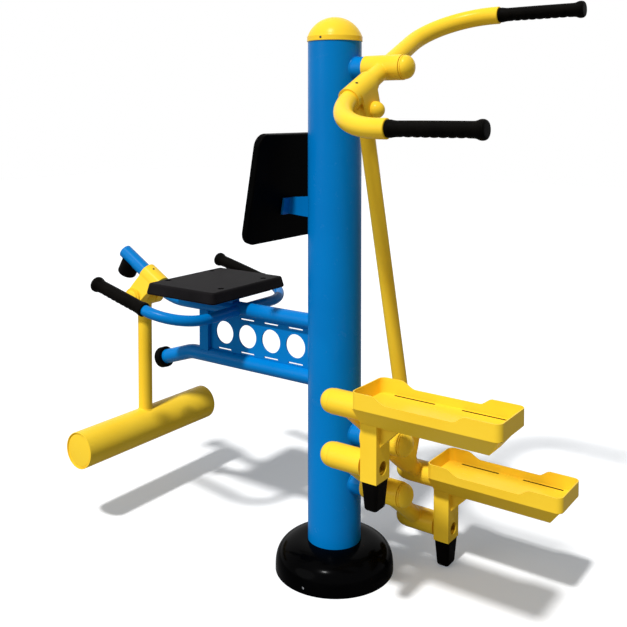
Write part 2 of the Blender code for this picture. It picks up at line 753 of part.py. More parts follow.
def pedal_bracket(top):
    """The hanging box section, its gusset and the folded channel under the tray."""
    low = -CHANNEL_BOTTOM
    seam = low + CHANNEL_SHEET / 2
    tip = BRACKET_END + GUSSET_LEG
    root = BRACKET_END - WELD_SINK
    hanger = box((BRACKET_START, -BRACKET_DEPTH / 2, BRACKET_BOTTOM),
                 (BRACKET_END, BRACKET_DEPTH / 2, top))
    outline = [(root, low - GUSSET_LEG), (BRACKET_END, low - GUSSET_LEG), (tip, low),
               (tip, seam), (root, seam)]
    gusset = slab(outline, -GUSSET_HALF, GUSSET_HALF)
    start = TRAY_START + CHANNEL_INSET
    end = TRAY_END - CHANNEL_END_INSET
    wide = TRAY_HALF_WIDTH - CHANNEL_INSET
    flare = (wide - CHANNEL_LOW_HALF) / (top - low)
    rake = CHANNEL_END_SLOPE / (top - low)
    side_wall = CHANNEL_SHEET * sqrt(1 + flare ** 2)
    end_wall = CHANNEL_SHEET * sqrt(1 + rake ** 2)

    def frustum(bottom, height, first, side_in, end_in):
        rings = []
        for level in (bottom, height):
            half = CHANNEL_LOW_HALF + flare * (level - low) - side_in
            last = end - CHANNEL_END_SLOPE + rake * (level - low) - end_in
            rings.append([(first, -half, level), (last, -half, level),
                          (last, half, level), (first, half, level)])
        return loft(rings)

    shell = frustum(low, top, start, 0, 0)
    hollow = frustum(low + CHANNEL_SHEET, top + OVERRUN, start + CHANNEL_SHEET, side_wall, end_wall)
    bracket = weld(cut(shell, hollow), hanger, gusset)
    for height in (0, -PEDAL_DROP):
        boss = cylinder((SLEEVE_END + RUN_GAP, 0, height),
                        (BRACKET_START + WELD_SINK, 0, height), BOSS_RADIUS)
        bracket = weld(bracket, boss)
    blind = BRACKET_END - BLIND_END
    bracket = cut(
        bracket,
        bore((SLEEVE_END, 0, 0), (blind, 0, 0), PIN_RADIUS + GAP),
        bore((SLEEVE_END, 0, -PEDAL_DROP), (BRACKET_END + OVERRUN, 0, -PEDAL_DROP),
             PIN_RADIUS + GAP),
        bore((BRACKET_END - PIN_END_INSET, 0, -PEDAL_DROP),
             (BRACKET_END + OVERRUN, 0, -PEDAL_DROP), PIN_END_HOLE),
        box((BRACKET_START + SOCKET_WALL, SOCKET_WALL - BRACKET_DEPTH / 2,
             BRACKET_BOTTOM - OVERRUN),
            (BRACKET_END - SOCKET_WALL, BRACKET_DEPTH / 2 - SOCKET_WALL,
             BRACKET_BOTTOM + SOCKET_DEPTH)))
    return bracket


def pedal_tray():
    """The foot pan: round corners, long rims that dip in the middle and drain slots."""
    middle = (TRAY_START + TRAY_END) / 2
    half = TRAY_LENGTH / 2

    def outline(inset):
        corner = TRAY_CORNER - inset
        points = rounded_rectangle(half - inset, TRAY_HALF_WIDTH - inset, corner)
        return [(middle + along, across) for along, across in points]

    floor = TRAY_BOTTOM + TRAY_SHEET
    rim = TRAY_BOTTOM + TRAY_RIM
    pan = slab(outline(0), TRAY_BOTTOM, rim, "Z")
    pan = cut(pan, slab(outline(TRAY_SHEET), floor, rim + OVERRUN, "Z"))
    dip = rim - TRAY_DIP
    run_in, run_out = DIP_SLOPE_IN / TRAY_DIP, DIP_SLOPE_OUT / TRAY_DIP
    first, last = TRAY_START + DIP_START, TRAY_START + DIP_END
    valley = [(first - OVERRUN * run_in, rim + OVERRUN), (first + DIP_SLOPE_IN, dip),
              (last, dip), (last + DIP_SLOPE_OUT + OVERRUN * run_out, rim + OVERRUN)]
    wide = TRAY_HALF_WIDTH + OVERRUN
    pan = cut(pan, slab(valley, -wide, wide))
    for side in (-1, 1):
        for index in range(2):
            start = TRAY_START + SLOT_FIRST + index * SLOT_PITCH
            line = side * (TRAY_HALF_WIDTH - SLOT_INSET)
            pan = cut(pan, box((start, line - SLOT_WIDTH / 2, TRAY_BOTTOM - OVERRUN),
                               (start + SLOT_LENGTH, line + SLOT_WIDTH / 2, floor + OVERRUN / 2)))
    return pan


def pedal_bumper():
    """The rubber foot, from the bracket's section to a rounder, smaller sole."""
    middle = (BRACKET_START + BRACKET_END) / 2
    top = BRACKET_BOTTOM - GAP
    long_half = (BRACKET_END - BRACKET_START) / 2 - BUMPER_INSET
    wide_half = BRACKET_DEPTH / 2 - BUMPER_INSET
    sole = top - BUMPER_HEIGHT
    levels = [(top, 1, BUMPER_CORNER, 0), (sole + BUMPER_EDGE, BUMPER_FOOT_SHARE, BUMPER_FOOT_CORNER, 0),
              (sole + BUMPER_EDGE * (1 - cos(pi / 4)), BUMPER_FOOT_SHARE, BUMPER_FOOT_CORNER,
               BUMPER_EDGE * (1 - sin(pi / 4))),
              (sole, BUMPER_FOOT_SHARE, BUMPER_FOOT_CORNER, BUMPER_EDGE)]
    rings = []
    for level, share, corner, inset in reversed(levels):
        outline = rounded_rectangle(long_half * share - inset, wide_half * share - inset,
                                    corner - inset)
        rings.append([(middle + along, across, level) for along, across in outline])
    plug_long = (BRACKET_END - BRACKET_START) / 2 - SOCKET_WALL - GAP
    plug_wide = BRACKET_DEPTH / 2 - SOCKET_WALL - GAP
    plug = box((middle - plug_long, -plug_wide, top - WELD_SINK),
               (middle + plug_long, plug_wide, BRACKET_BOTTOM + SOCKET_DEPTH - GAP))
    return weld(loft(rings), plug)


# Rocking handle and link rod
def grip(start, direction, length):
    """A rubber grip with a cuff, finger ridges below and a flared, closed end."""
    hole = (GRIP_TUBE_RADIUS + GAP) / cos(pi / GRIP_SIDES)
    profile = [(length - GRIP_END_WALL, 0), (length - GRIP_END_WALL, hole), (0, hole),
               (0, GRIP_CUFF_RADIUS), (GRIP_CUFF, GRIP_CUFF_RADIUS),
               (GRIP_CUFF + GRIP_BLEND, GRIP_RADIUS),
               (length - GRIP_FLARE - GRIP_BLEND, GRIP_RADIUS),
               (length - GRIP_FLARE, GRIP_FLARE_RADIUS),
               (length - GRIP_END_WALL, GRIP_FLARE_RADIUS), (length, GRIP_RADIUS), (length, 0)]
    return turned(profile, start, direction, GRIP_SIDES)


def build_handle():
    """The handle hub, its two arms and grips, the strap and the link rod under it."""
    pivot = pivot_at("handle_rocker_pivot", (0, 0, HANDLE_HUB_HEIGHT), HANDLE_TILT)
    painted(cut(hub_sleeve(), hub_bore()), "handle_hub", YELLOW, pivot)
    build_hub_cap("handle_hub_cap", pivot)
    for side, name in ((-1, "near"), (1, "far")):
        bore_end = HANDLE_GRIP_END - GRIP_END_WALL - GAP
        reach = side * HANDLE_REACH
        corners = [(ARM_X, 0, 0), (ARM_X, reach, 0), (HANDLE_GRIP_START - GAP, reach, 0)]
        arm = bent_tube(corners, HANDLE_BEND, HANDLE_TUBE_RADIUS)
        core = cylinder((HANDLE_GRIP_START - OVERRUN, reach, 0), (bore_end, reach, 0),
                        GRIP_TUBE_RADIUS)
        arm = weld(arm, core)
        hub = cylinder((HUB_START - OVERRUN, 0, 0), (HUB_END + OVERRUN, 0, 0),
                       HUB_SLEEVE_RADIUS + GAP)
        painted(cut(arm, hub), name + "_handle_arm", YELLOW, pivot)
        length = HANDLE_GRIP_END - HANDLE_GRIP_START
        rubber(grip((HANDLE_GRIP_START, reach, 0), X_AXIS, length), name + "_handle_grip", pivot)

    strap = clevis_strap(HANDLE_TUBE_RADIUS, TOP_COLLAR_WALL, -TOP_COLLAR_REACH, TOP_EYE,
                         TOP_STRAP_HALF, TOP_STRAP_END)
    hole = bore((LINK_X - CHEEK_OUTER - OVERRUN, *TOP_EYE),
                (LINK_X + CHEEK_OUTER + OVERRUN, *TOP_EYE), LINK_PIN_RADIUS + GAP)
    strap = cut(strap, arm_bore(HANDLE_TUBE_RADIUS, -TOP_COLLAR_REACH), hole)
    painted(strap, "link_collar", YELLOW, pivot)

    face = CHEEK_OUTER + GAP
    head = link_head_profile()[1:]
    right = [(face + distance, radius) for distance, radius in head]
    left = [(-distance, radius) for distance, radius in right][::-1]
    profile = left + [(-face, LINK_PIN_RADIUS), (face, LINK_PIN_RADIUS)] + right
    painted(turned(profile, (LINK_X, *TOP_EYE), X_AXIS), "link_top_pin", YELLOW, pivot)
    build_link_rod(pivot)


def turned_about_x(place, angle):
    """A (y, z) point after a turn about X."""
    across, up = place
    return Vector((across * cos(angle) - up * sin(angle), across * sin(angle) + up * cos(angle)))


def build_link_rod(handle_pivot):
    """The rod from the handle's strap down to the stepper's strap."""
    top = turned_about_x(TOP_EYE, HANDLE_TILT) + Vector((0, HANDLE_HUB_HEIGHT))
    low = turned_about_x(LOW_EYE, -STEP_TILT) + Vector((0, UPPER_HUB_HEIGHT))
    run = low - top
    lean = atan2(run.x, -run.y)
    pivot = pivot_at("link_rod_pivot", (LINK_X, *TOP_EYE), lean - HANDLE_TILT, handle_pivot)
    length = run.length
    round_end = dome(0, LINK_RADIUS, LINK_RADIUS)
    profile = [(-distance, radius) for distance, radius in round_end][::-1]
    profile += [(length + distance, radius) for distance, radius in round_end]
    rod = turned(profile, direction=-Z_AXIS)
    half = CHEEK_SPREAD - LINK_EYE_GAP
    for height in (0, -length):
        eye = cylinder((-half, 0, height), (half, 0, height), LINK_EYE_RADIUS)
        hole = bore((-half - OVERRUN, 0, height), (half + OVERRUN, 0, height),
                    LINK_PIN_RADIUS + RUN_GAP)
        rod = cut(weld(rod, eye), hole)
    painted(rod, "link_rod", YELLOW, pivot)


# Seat side
def beam_tube_cutter(height):
    """A seat-beam tube's outside with a gap, straight along X."""
    return bore((0, 0, height), (END_BAR_START * 2, 0, height), TUBE_RADIUS + GAP)


def build_beam():
    """Two tubes, the pierced web between them and the bar that closes it."""
    boom_end = BEAM_TURN + BOOM_LENGTH * BOOM_DIRECTION
    upper = bent_tube([(0, 0, UPPER_TUBE_HEIGHT), BEAM_TURN, boom_end], BOOM_BEND, TUBE_RADIUS)
    painted(cut(upper, post_cutter()), "beam_upper_tube", BLUE)
    turn = Vector((LOWER_TUBE_TURN, 0, LOWER_TUBE_HEIGHT))
    tail = turn + LOWER_TUBE_TAIL * lower_tail_direction()
    lower = bent_tube([(0, 0, LOWER_TUBE_HEIGHT), turn, tail], LOWER_TUBE_BEND, TUBE_RADIUS)
    painted(cut(lower, post_cutter()), "beam_lower_tube", BLUE)

    low = LOWER_TUBE_HEIGHT + TUBE_RADIUS + GAP
    high = UPPER_TUBE_HEIGHT - TUBE_RADIUS - GAP
    half = WEB_THICKNESS / 2
    web = box((END_BAR_START + GAP, -half, low), (-POST_RADIUS - GAP, half, high))
    across = half + OVERRUN
    for index in range(WEB_HOLES):
        middle = WEB_HOLE_FIRST - index * WEB_HOLE_PITCH
        centre = (low + high) / 2
        web = cut(web, cylinder((middle, -across, centre), (middle, across, centre), WEB_HOLE_RADIUS,
                                POST_SIDES))
        for height in (low + WEB_SLOT_EDGE, high - WEB_SLOT_EDGE):
            ends = rounded_rectangle(WEB_SLOT_LENGTH / 2, WEB_SLOT_WIDTH / 2,
                                     WEB_SLOT_WIDTH / 2 * WEB_SLOT_CORNER_SHARE, 2)
            outline = [(middle + along, height + up) for along, up in ends]
            web = cut(web, slab(outline, -across, across))
    painted(web, "beam_web", BLUE)

    bar = box((END_BAR_START - END_BAR_WIDTH, -END_BAR_DEPTH / 2, LOWER_TUBE_HEIGHT),
              (END_BAR_START, END_BAR_DEPTH / 2, UPPER_TUBE_HEIGHT))
    bar = cut(bar, beam_tube_cutter(UPPER_TUBE_HEIGHT), beam_tube_cutter(LOWER_TUBE_HEIGHT))
    painted(bar, "beam_end_bar", BLUE)


def lower_tail_direction():
    """The way the lower tube's bent tail points."""
    return Vector((-cos(LOWER_TUBE_FALL), 0, -sin(LOWER_TUBE_FALL)))


def round_buffer(start, direction, radius, thickness):
    """A rubber buffer with a softened outer edge."""
    edge = STOP_EDGE
    soft = arc((thickness - edge, radius - edge), edge, pi / 2, 0, 2)
    profile = [(0, 0), (0, radius)] + soft + [(thickness, 0)]
    return turned(profile, start, direction)


def build_stops():
    """The two rubber buffers that end the lever's swing."""
    start = BEAM_TURN + FRONT_STOP_REACH * BOOM_DIRECTION + TUBE_RADIUS / 2 * BOOM_DOWN
    thickness = TUBE_RADIUS / 2 + FRONT_STOP_THICKNESS
    front = round_buffer(start, BOOM_DOWN, FRONT_STOP_RADIUS, thickness)
    boom = bore(BEAM_TURN, BEAM_TURN + 2 * BOOM_LENGTH * BOOM_DIRECTION, TUBE_RADIUS + GAP)
    rubber(cut(front, boom), "front_stop")
    turn = Vector((LOWER_TUBE_TURN, 0, LOWER_TUBE_HEIGHT))
    start = turn + (LOWER_TUBE_TAIL + GAP) * lower_tail_direction()
    back = round_buffer(start, lower_tail_direction(), BACK_STOP_RADIUS, BACK_STOP_THICKNESS)
    rubber(back, "back_stop")


def build_seat():
    """The seat board on its plate, and the two side handles."""
    middle = (SEAT_LOW + SEAT_HIGH) / 2
    half = (SEAT_HIGH - SEAT_LOW) / 2
    top = SEAT_BOTTOM + SEAT_THICKNESS
    rings = []
    for level, inset in ((SEAT_BOTTOM, 0), (top - SEAT_EDGE, SEAT_TAPER),
                         (top - SEAT_EDGE * (1 - sin(pi / 4)), SEAT_TAPER + SEAT_EDGE * (1 - cos(pi / 4))),
                         (top, SEAT_TAPER + SEAT_EDGE)):
        outline = rounded_rectangle(half - inset, SEAT_HALF_WIDTH - inset, SEAT_CORNER - inset)
        rings.append([(middle + along, across, level) for along, across in outline])
    seat = loft(rings)
    for along in SEAT_SCREW_X:
        for across in (-SEAT_SCREW_Y, SEAT_SCREW_Y):
            seat = cut(seat, cylinder((along, across, top - SEAT_SCREW_DEPTH),
                                      (along, across, top + OVERRUN), SEAT_SCREW_RADIUS, 12))
    piece(seat, "seat", SEAT_BLACK, 0.55)

    under = SEAT_BOTTOM - GAP
    first, last = min(SEAT_SCREW_X) - MOUNT_MARGIN, max(SEAT_SCREW_X) + MOUNT_MARGIN
    wide = SEAT_SCREW_Y + MOUNT_MARGIN
    plate = box((first, -wide, under - MOUNT_PLATE), (last, wide, under))
    saddle = box((first + SADDLE_INSET, -SADDLE_WIDTH / 2, UPPER_TUBE_HEIGHT),
                 (last - SADDLE_INSET, SADDLE_WIDTH / 2, under - MOUNT_PLATE / 2))
    plate = cut(weld(plate, saddle), beam_tube_cutter(UPPER_TUBE_HEIGHT))
    painted(plate, "seat_mount_plate", BLUE)

    for side, name in ((-1, "near"), (1, "far")):
        ahead = Vector((-cos(SEAT_HANDLE_RISE), 0, sin(SEAT_HANDLE_RISE)))
        corner = Vector((SEAT_HANDLE_X, side * SEAT_HANDLE_HALF, SEAT_HANDLE_HEIGHT))
        start = Vector((SEAT_HANDLE_X, 0, SEAT_HANDLE_HEIGHT))
        inside = SEAT_HANDLE_LENGTH - GRIP_END_WALL - GAP
        tube = bent_tube([start, corner, corner + inside * ahead], SEAT_HANDLE_BEND,
                         GRIP_TUBE_RADIUS)
        painted(cut(tube, beam_tube_cutter(UPPER_TUBE_HEIGHT)), name + "_seat_handle", BLUE)
        grip_start = corner + (SEAT_HANDLE_LENGTH - SEAT_GRIP_LENGTH) * ahead
        rubber(grip(grip_start, ahead, SEAT_GRIP_LENGTH), name + "_seat_grip")


def build_back():
    """The backrest board and the plate that carries it on the post."""
    lean = Matrix.Rotation(PAD_RECLINE, 4, "Y")
    place = Matrix.Translation((PAD_BACK_X, 0, PAD_MIDDLE_HEIGHT)) @ lean
    rings = []
    for depth, inset in ((0, PAD_EDGE), (PAD_EDGE, 0), (PAD_THICKNESS - PAD_EDGE, 0),
                         (PAD_THICKNESS, PAD_EDGE)):
        outline = rounded_rectangle(PAD_HALF_WIDTH - inset, PAD_HEIGHT / 2 - inset,
                                    PAD_CORNER - inset)
        rings.append([(-depth, across, up) for across, up in outline])
    pad = loft(rings)
    pad.data.transform(place)
    rubber(pad, "backrest")

    slope = sin(PAD_RECLINE) / cos(PAD_RECLINE)
    sheet = PAD_BRACKET_PLATE
    flange = box((GAP, -PAD_BRACKET_FLANGE / 2, -PAD_BRACKET_DEPTH / 2),
                 (GAP + sheet, PAD_BRACKET_FLANGE / 2, PAD_BRACKET_DEPTH / 2))
    drop = (PAD_BRACKET_HEIGHT - PAD_MIDDLE_HEIGHT) / cos(PAD_RECLINE)
    flange.data.transform(place @ Matrix.Translation((0, 0, drop)))
    outline = []
    for end, half in ((-1, -1), (1, -1), (1, 1), (-1, 1)):
        depth = PAD_BRACKET_DEPTH * cos(PAD_RECLINE) if end < 0 else PAD_BRACKET_ROOT
        height = PAD_BRACKET_HEIGHT + half * depth / 2
        face = PAD_BACK_X + slope * (height - PAD_MIDDLE_HEIGHT) + sheet / 2
        outline.append((face if end < 0 else -POST_RADIUS + POST_WALL, height))
    plate = slab(outline, -sheet / 2, sheet / 2)
    painted(cut(weld(flange, plate), post_cutter()), "back_bracket", BLUE)


# Leg lever
def boom_matrix():
    """A frame on the boom: X along it, Y across, Z square to it and down."""
    frame = Matrix((BOOM_DIRECTION, Y_AXIS, BOOM_DOWN)).transposed()
    return Matrix.Translation(BEAM_TURN) @ frame.to_4x4()


def build_lever_bracket():
    """The collar on the boom and the fork that carries the lever's axle."""
    first, last = BOOM_COLLAR_START, BOOM_COLLAR_START + BOOM_COLLAR_LENGTH
    bracket = cylinder((first, 0, 0), (last, 0, 0), BOOM_COLLAR_RADIUS)
    middle = (first + last) / 2
    rings = []
    for level, at, half, wide in (
            (FORK_NECK_TOP, middle, BOOM_COLLAR_LENGTH / 2 - GAP, FORK_NECK_HALF),
            (LEVER_SLOT_TOP, (middle + PIVOT_REACH) / 2, LEVER_HUB_RADIUS, FORK_HALF - MOUNT_PLATE),
            (PIVOT_BELOW, PIVOT_REACH, LEVER_HUB_RADIUS - WELD_SINK, FORK_HALF - WELD_SINK)):
        rings.append([(at - half, -wide, level), (at + half, -wide, level),
                      (at + half, wide, level), (at - half, wide, level)])
    bracket = weld(bracket, loft(rings))
    boss = cylinder((PIVOT_REACH, -FORK_HALF, PIVOT_BELOW), (PIVOT_REACH, FORK_HALF, PIVOT_BELOW),
                    LEVER_HUB_RADIUS)
    slot = box((-FORK_HALF, -LEVER_SLOT_HALF, LEVER_SLOT_TOP),
               (PIVOT_REACH + 2 * FORK_HALF, LEVER_SLOT_HALF, 2 * PIVOT_BELOW))
    boom = bore((first - OVERRUN, 0, 0), (last + OVERRUN, 0, 0), TUBE_RADIUS + GAP)
    eye = bore((PIVOT_REACH, -FORK_HALF - OVERRUN, PIVOT_BELOW),
               (PIVOT_REACH, FORK_HALF + OVERRUN, PIVOT_BELOW), LEVER_PIN_RADIUS + GAP)
    bracket = cut(weld(bracket, boss), slot, boom, eye)
    bracket.data.transform(boom_matrix())
    painted(bracket, "lever_bracket", YELLOW)


def build_lever():
    """The swinging lever with its roller, and the axle it hangs on."""
    pivot = pivot_at("leg_lever_pivot", LEVER_PIVOT)
    half = LEVER_HUB_HALF
    arm = cylinder((0, -half, 0), (0, half, 0), LEVER_HUB_RADIUS)
    arm = weld(arm, cylinder((0, 0, 0), (0, 0, -ROLLER_DROP), TUBE_RADIUS))
    eye = bore((0, -half - OVERRUN, 0), (0, half + OVERRUN, 0), LEVER_PIN_RADIUS + RUN_GAP)
    ends = ((0, -ROLLER_HALF, -ROLLER_DROP), (0, ROLLER_HALF, -ROLLER_DROP))
    roller = bore(ends[0], ends[1], ROLLER_RADIUS + GAP, POST_SIDES)
    painted(cut(arm, eye, roller), "leg_lever_arm", YELLOW, pivot)

    inner = ROLLER_RADIUS - ROLLER_WALL
    length = 2 * ROLLER_HALF
    profile = [(0, inner), (0, ROLLER_RADIUS), (length, ROLLER_RADIUS), (length, inner)]
    tube = turned(profile, ends[0], Y_AXIS, POST_SIDES, ring=True)
    painted(tube, "roller_tube", YELLOW, pivot)
    for side, name in ((-1, "near"), (1, "far")):
        radius = inner - GAP
        groove = radius - ROLLER_RING_WIDTH * 2
        face = ROLLER_DISC
        profile = [(0, 0), (0, radius), (face, radius), (face, groove + ROLLER_RING_WIDTH),
                   (face - ROLLER_RING_DEPTH, groove + ROLLER_RING_WIDTH),
                   (face - ROLLER_RING_DEPTH, groove), (face, groove), (face, 0)]
        start = (0, side * (ROLLER_HALF - ROLLER_DISC_INSET - ROLLER_DISC), -ROLLER_DROP)
        disc = turned(profile, start, side * Y_AXIS, POST_SIDES)
        painted(disc, "roller_" + name + "_end", YELLOW, pivot)

    face = FORK_HALF + GAP
    head = [(face, LEVER_HEAD_RADIUS)] + dome(face, LEVER_HEAD_RADIUS, LEVER_HEAD_RISE)[1:]
    near = [(0, 0)] + [(0, LEVER_PIN_RADIUS), (face * 2, LEVER_PIN_RADIUS)]
    near += [(distance + face, radius) for distance, radius in head]
    start = LEVER_PIVOT + Y_AXIS * face
    painted(turned(near, start, -Y_AXIS), "lever_axle", YELLOW)
    cap = [(face + GAP, 0)] + [(distance + GAP, radius) for distance, radius in head]
    painted(turned(cap, LEVER_PIVOT, Y_AXIS), "lever_axle_cap", YELLOW)


build_post()
for hub_name, hub_height in (("handle", HANDLE_HUB_HEIGHT), ("upper", UPPER_HUB_HEIGHT),
                             ("lower", LOWER_HUB_HEIGHT)):
    build_hub_core(hub_name, hub_height)
build_stepper()
build_handle()
build_beam()
build_stops()
build_seat()
build_back()
build_lever_bracket()
build_lever()
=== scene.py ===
# %% [markdown]
# # An outdoor fitness carousel
#
# One painted post carries a stepper with a rocking handle on one side and a seat with a
# leg lever on the other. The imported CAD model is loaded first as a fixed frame: it gives
# every piece its place and every moving body its joint. The cells below then dress that
# frame, piece by piece, with smoother shapes and with painted, moulded and rubber
# finishes.

# %% Load the frame
import json
from math import acos, atan2, cos, hypot, pi, radians, sin, sqrt, tan

import bmesh
import bpy
from mathutils import Matrix, Vector


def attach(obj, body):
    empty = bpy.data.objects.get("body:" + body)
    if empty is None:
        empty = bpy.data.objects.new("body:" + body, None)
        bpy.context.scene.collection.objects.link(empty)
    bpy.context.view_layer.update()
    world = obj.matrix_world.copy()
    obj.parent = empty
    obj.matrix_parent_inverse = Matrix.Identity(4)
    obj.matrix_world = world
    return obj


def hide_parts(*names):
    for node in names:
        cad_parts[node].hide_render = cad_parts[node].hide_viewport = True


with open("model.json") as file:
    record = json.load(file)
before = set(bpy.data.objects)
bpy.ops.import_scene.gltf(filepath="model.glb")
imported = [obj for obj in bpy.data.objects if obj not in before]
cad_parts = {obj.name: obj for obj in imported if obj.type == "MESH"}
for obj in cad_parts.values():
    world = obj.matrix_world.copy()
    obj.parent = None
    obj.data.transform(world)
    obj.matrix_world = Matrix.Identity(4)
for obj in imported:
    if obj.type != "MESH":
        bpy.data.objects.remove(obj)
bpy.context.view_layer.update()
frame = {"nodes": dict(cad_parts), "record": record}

# %% [markdown]
# ## The camera
#
# The photograph was taken from a little below head height, from the near side of the
# stepper. Its camera was worked out from the vertical post, the level tubes and the
# round base. The picture's centre lies below the level the lens looks at, as in a shot
# that was cropped, so the camera keeps a vertical shift instead of a steeper tilt.

# %% Camera
IMAGE_SIDE = 627
FOCAL_PIXELS = 851.484
LEVEL_ROW = 146.417          # the picture row the lens points at
SENSOR = 36.0
VIEW_YAW = radians(125.533)
VIEW_PITCH = radians(-2.208)

camera = bpy.data.objects.new("camera", bpy.data.cameras.new("camera"))
bpy.context.scene.collection.objects.link(camera)
camera.location = (1.2440, -1.8370, 1.2005)
aim = Vector((cos(VIEW_YAW) * cos(VIEW_PITCH), sin(VIEW_YAW) * cos(VIEW_PITCH),
              sin(VIEW_PITCH)))
camera.rotation_euler = aim.to_track_quat("-Z", "Y").to_euler()
camera.data.sensor_width = SENSOR
camera.data.lens = SENSOR * FOCAL_PIXELS / IMAGE_SIDE
camera.data.shift_y = (LEVEL_ROW - IMAGE_SIDE / 2) / IMAGE_SIDE
bpy.context.scene.camera = camera
print("lens", round(camera.data.lens, 2), "shift", round(camera.data.shift_y, 4))

# %% [markdown]
# ## Shader sums as Python
#
# A material's maths is easier to read as `0.3 + 0.1 * grain` than as a row of Math
# nodes. A small class wraps a node's output and overloads the operators, so that each
# expression adds the Math nodes it needs. The reflected forms, such as `__rsub__`, make
# `1 - mask` work with the number on the left. Every other node, of a material or of the
# world, comes from one method, `Tree.add`.

# %% Sums of shader sockets
class Wire:
    """A shader output that can be used in a Python sum."""

    def __init__(self, tree, socket):
        self.tree = tree
        self.socket = socket

    def sum_with(self, operation, first, second):
        return self.tree.add("ShaderNodeMath", {"operation": operation}, {0: first, 1: second})

    def __add__(self, other):
        return self.sum_with("ADD", self, other)

    def __radd__(self, other):
        return self.sum_with("ADD", other, self)

    def __sub__(self, other):
        return self.sum_with("SUBTRACT", self, other)

    def __rsub__(self, other):
        return self.sum_with("SUBTRACT", other, self)

    def __mul__(self, other):
        return self.sum_with("MULTIPLY", self, other)

    def __rmul__(self, other):
        return self.sum_with("MULTIPLY", other, self)

    def within(self, low, high):
        """0 below low, 1 above high and a soft rise between them."""
        return self.tree.add(
            "ShaderNodeMapRange", {"interpolation_type": "SMOOTHSTEP"},
            {"Value": self, "From Min": low, "From Max": high})


# %% Node trees and finishes
class Tree:
    """A node tree whose nodes are made by one method."""

    def __init__(self, nodes_and_links):
        self.nodes, self.links = nodes_and_links.nodes, nodes_and_links.links

    def add(self, kind, settings=None, sockets=None, output=0):
        """Make a node, set it up, fill its sockets and give back one output, if it has any."""
        node = self.nodes.new(kind)
        for setting, value in (settings or {}).items():
            setattr(node, setting, value)
        self.fill(node, sockets or {})
        return Wire(self, node.outputs[output]) if node.outputs else None

    def fill(self, node, sockets):
        """Set or link a node's inputs, by name, by identifier or by number."""
        for key, value in sockets.items():
            named = [socket for socket in node.inputs if socket.identifier == key]
            target = named[0] if named else node.inputs[key]
            if isinstance(value, Wire):
                self.links.new(value.socket, target)
            else:
                target.default_value = value


class Finish(Tree):
    """A material, and the texture nodes that finishes are made of."""

    def __init__(self, name, slot):
        self.slot = slot
        self.material = bpy.data.materials.new(name)
        self.material.use_nodes = True
        super().__init__(self.material.node_tree)

    def surface(self, **sockets):
        """Fill the Principled shader's sockets; _ in a name stands for a space."""
        self.fill(self.nodes["Principled BSDF"],
                  {key.replace("_", " "): value for key, value in sockets.items()})
        print(f"{self.material.name}: {len(self.nodes)} nodes")

    def place(self):
        """Object coordinates, which are metres in the row's frame for every piece."""
        return self.add("ShaderNodeTexCoord", output=3)

    def noise(self, scale, detail, roughness=0.5, stretch=(1, 1, 1)):
        """Soft random values round one half."""
        place = self.place()
        if stretch != (1, 1, 1):
            place = self.add("ShaderNodeMapping", {}, {"Vector": place, "Scale": stretch})
        return self.add("ShaderNodeTexNoise", {"noise_dimensions": "3D"},
                        {"Vector": place, "Scale": scale, "Detail": detail,
                         "Roughness": roughness})

    def mark(self, name):
        """A number that the faces or points of a piece carry."""
        return self.add("ShaderNodeAttribute", {"attribute_name": name}, output=2)

    def tint(self, mask, start, end):
        """A colour between two, by a mask."""
        return self.add("ShaderNodeMix", {"data_type": "RGBA"},
                        {"Factor_Float": mask, "A_Color": start, "B_Color": end}, output=2)

    def bump(self, height, distance):
        """A normal tilted by a height pattern."""
        return self.add("ShaderNodeBump", {}, {"Height": height, "Distance": distance,
                                               "Strength": 1.0})


# %% [markdown]
# ## Powder coat
#
# The steel is powder coated: a thick, even, semi-gloss paint that is baked on. Up close
# it has orange peel, tiny waves about two millimetres long, which soften its highlights.
# Out of doors it also takes a faint film of dust and fine scuffs. The walls of its
# drain slots get painted shade, a near-black colour where shade falls, and a face
# attribute says which faces take it. One function makes both colours, so that the
# blue and the yellow steel age in the same way.

# %% Powder coat finishes
# The dark brown of the painted shade on the walls of the pan's drain slots.
PAINTED_SHADE = (0.030, 0.016, 0.004, 1)


def powder_coat(name, slot, colour, deep):
    """Semi-gloss baked paint with orange peel, slight mottling, fine scuffs and painted shade."""
    coat = Finish(name, slot)
    cloud = coat.noise(5.0, 3.0)
    speck = coat.noise(160.0, 2.0)
    scuff = coat.noise(34.0, 6.0, 0.72).within(0.60, 0.74)
    peel = coat.noise(520.0, 1.0)
    mottled = coat.tint(cloud.within(0.30, 0.72), (*colour, 1), (*deep, 1))
    dull = tuple(0.82 * part + 0.05 for part in deep)
    worn = coat.tint(scuff * speck * 0.35, mottled, (*dull, 1))
    # Painted shade: faces marked by the attribute are darkened almost fully to that dark brown.
    coat.surface(
        Base_Color=coat.tint(coat.mark("painted_shade") * 0.94, worn, PAINTED_SHADE),
        Roughness=0.24 + 0.05 * cloud + 0.16 * scuff * speck,
        Normal=coat.bump(peel + 0.5 * coat.noise(210.0, 1.0), 0.00016),
        Specular_IOR_Level=0.08)
    return coat


YELLOW = powder_coat("yellow powder coat", "yellow_paint", (1.0, 0.665, 0.040),
                     (0.985, 0.625, 0.030))
BLUE = powder_coat("blue powder coat", "blue_paint", (0.0, 0.196, 0.565), (0.0, 0.176, 0.520))

# %% [markdown]
# ## Black mouldings
#
# Four black finishes look alike in a photograph, but their highlights differ. The base
# cover is glossy moulded plastic, the backrest is satin with a fine leather grain, the
# seat is a matt board with a coarser grain, and the grips, stops and feet are rubber.
# Their colours are nearly the same, so roughness, grain and shine tell them apart. The
# seat's bolt recesses get painted shade, a darker colour, from the same face attribute.

# %% Black finishes
# The near black of the painted shade in the seat's bolt recesses.
RECESS_SHADE = (0.0005, 0.0005, 0.0005, 1)


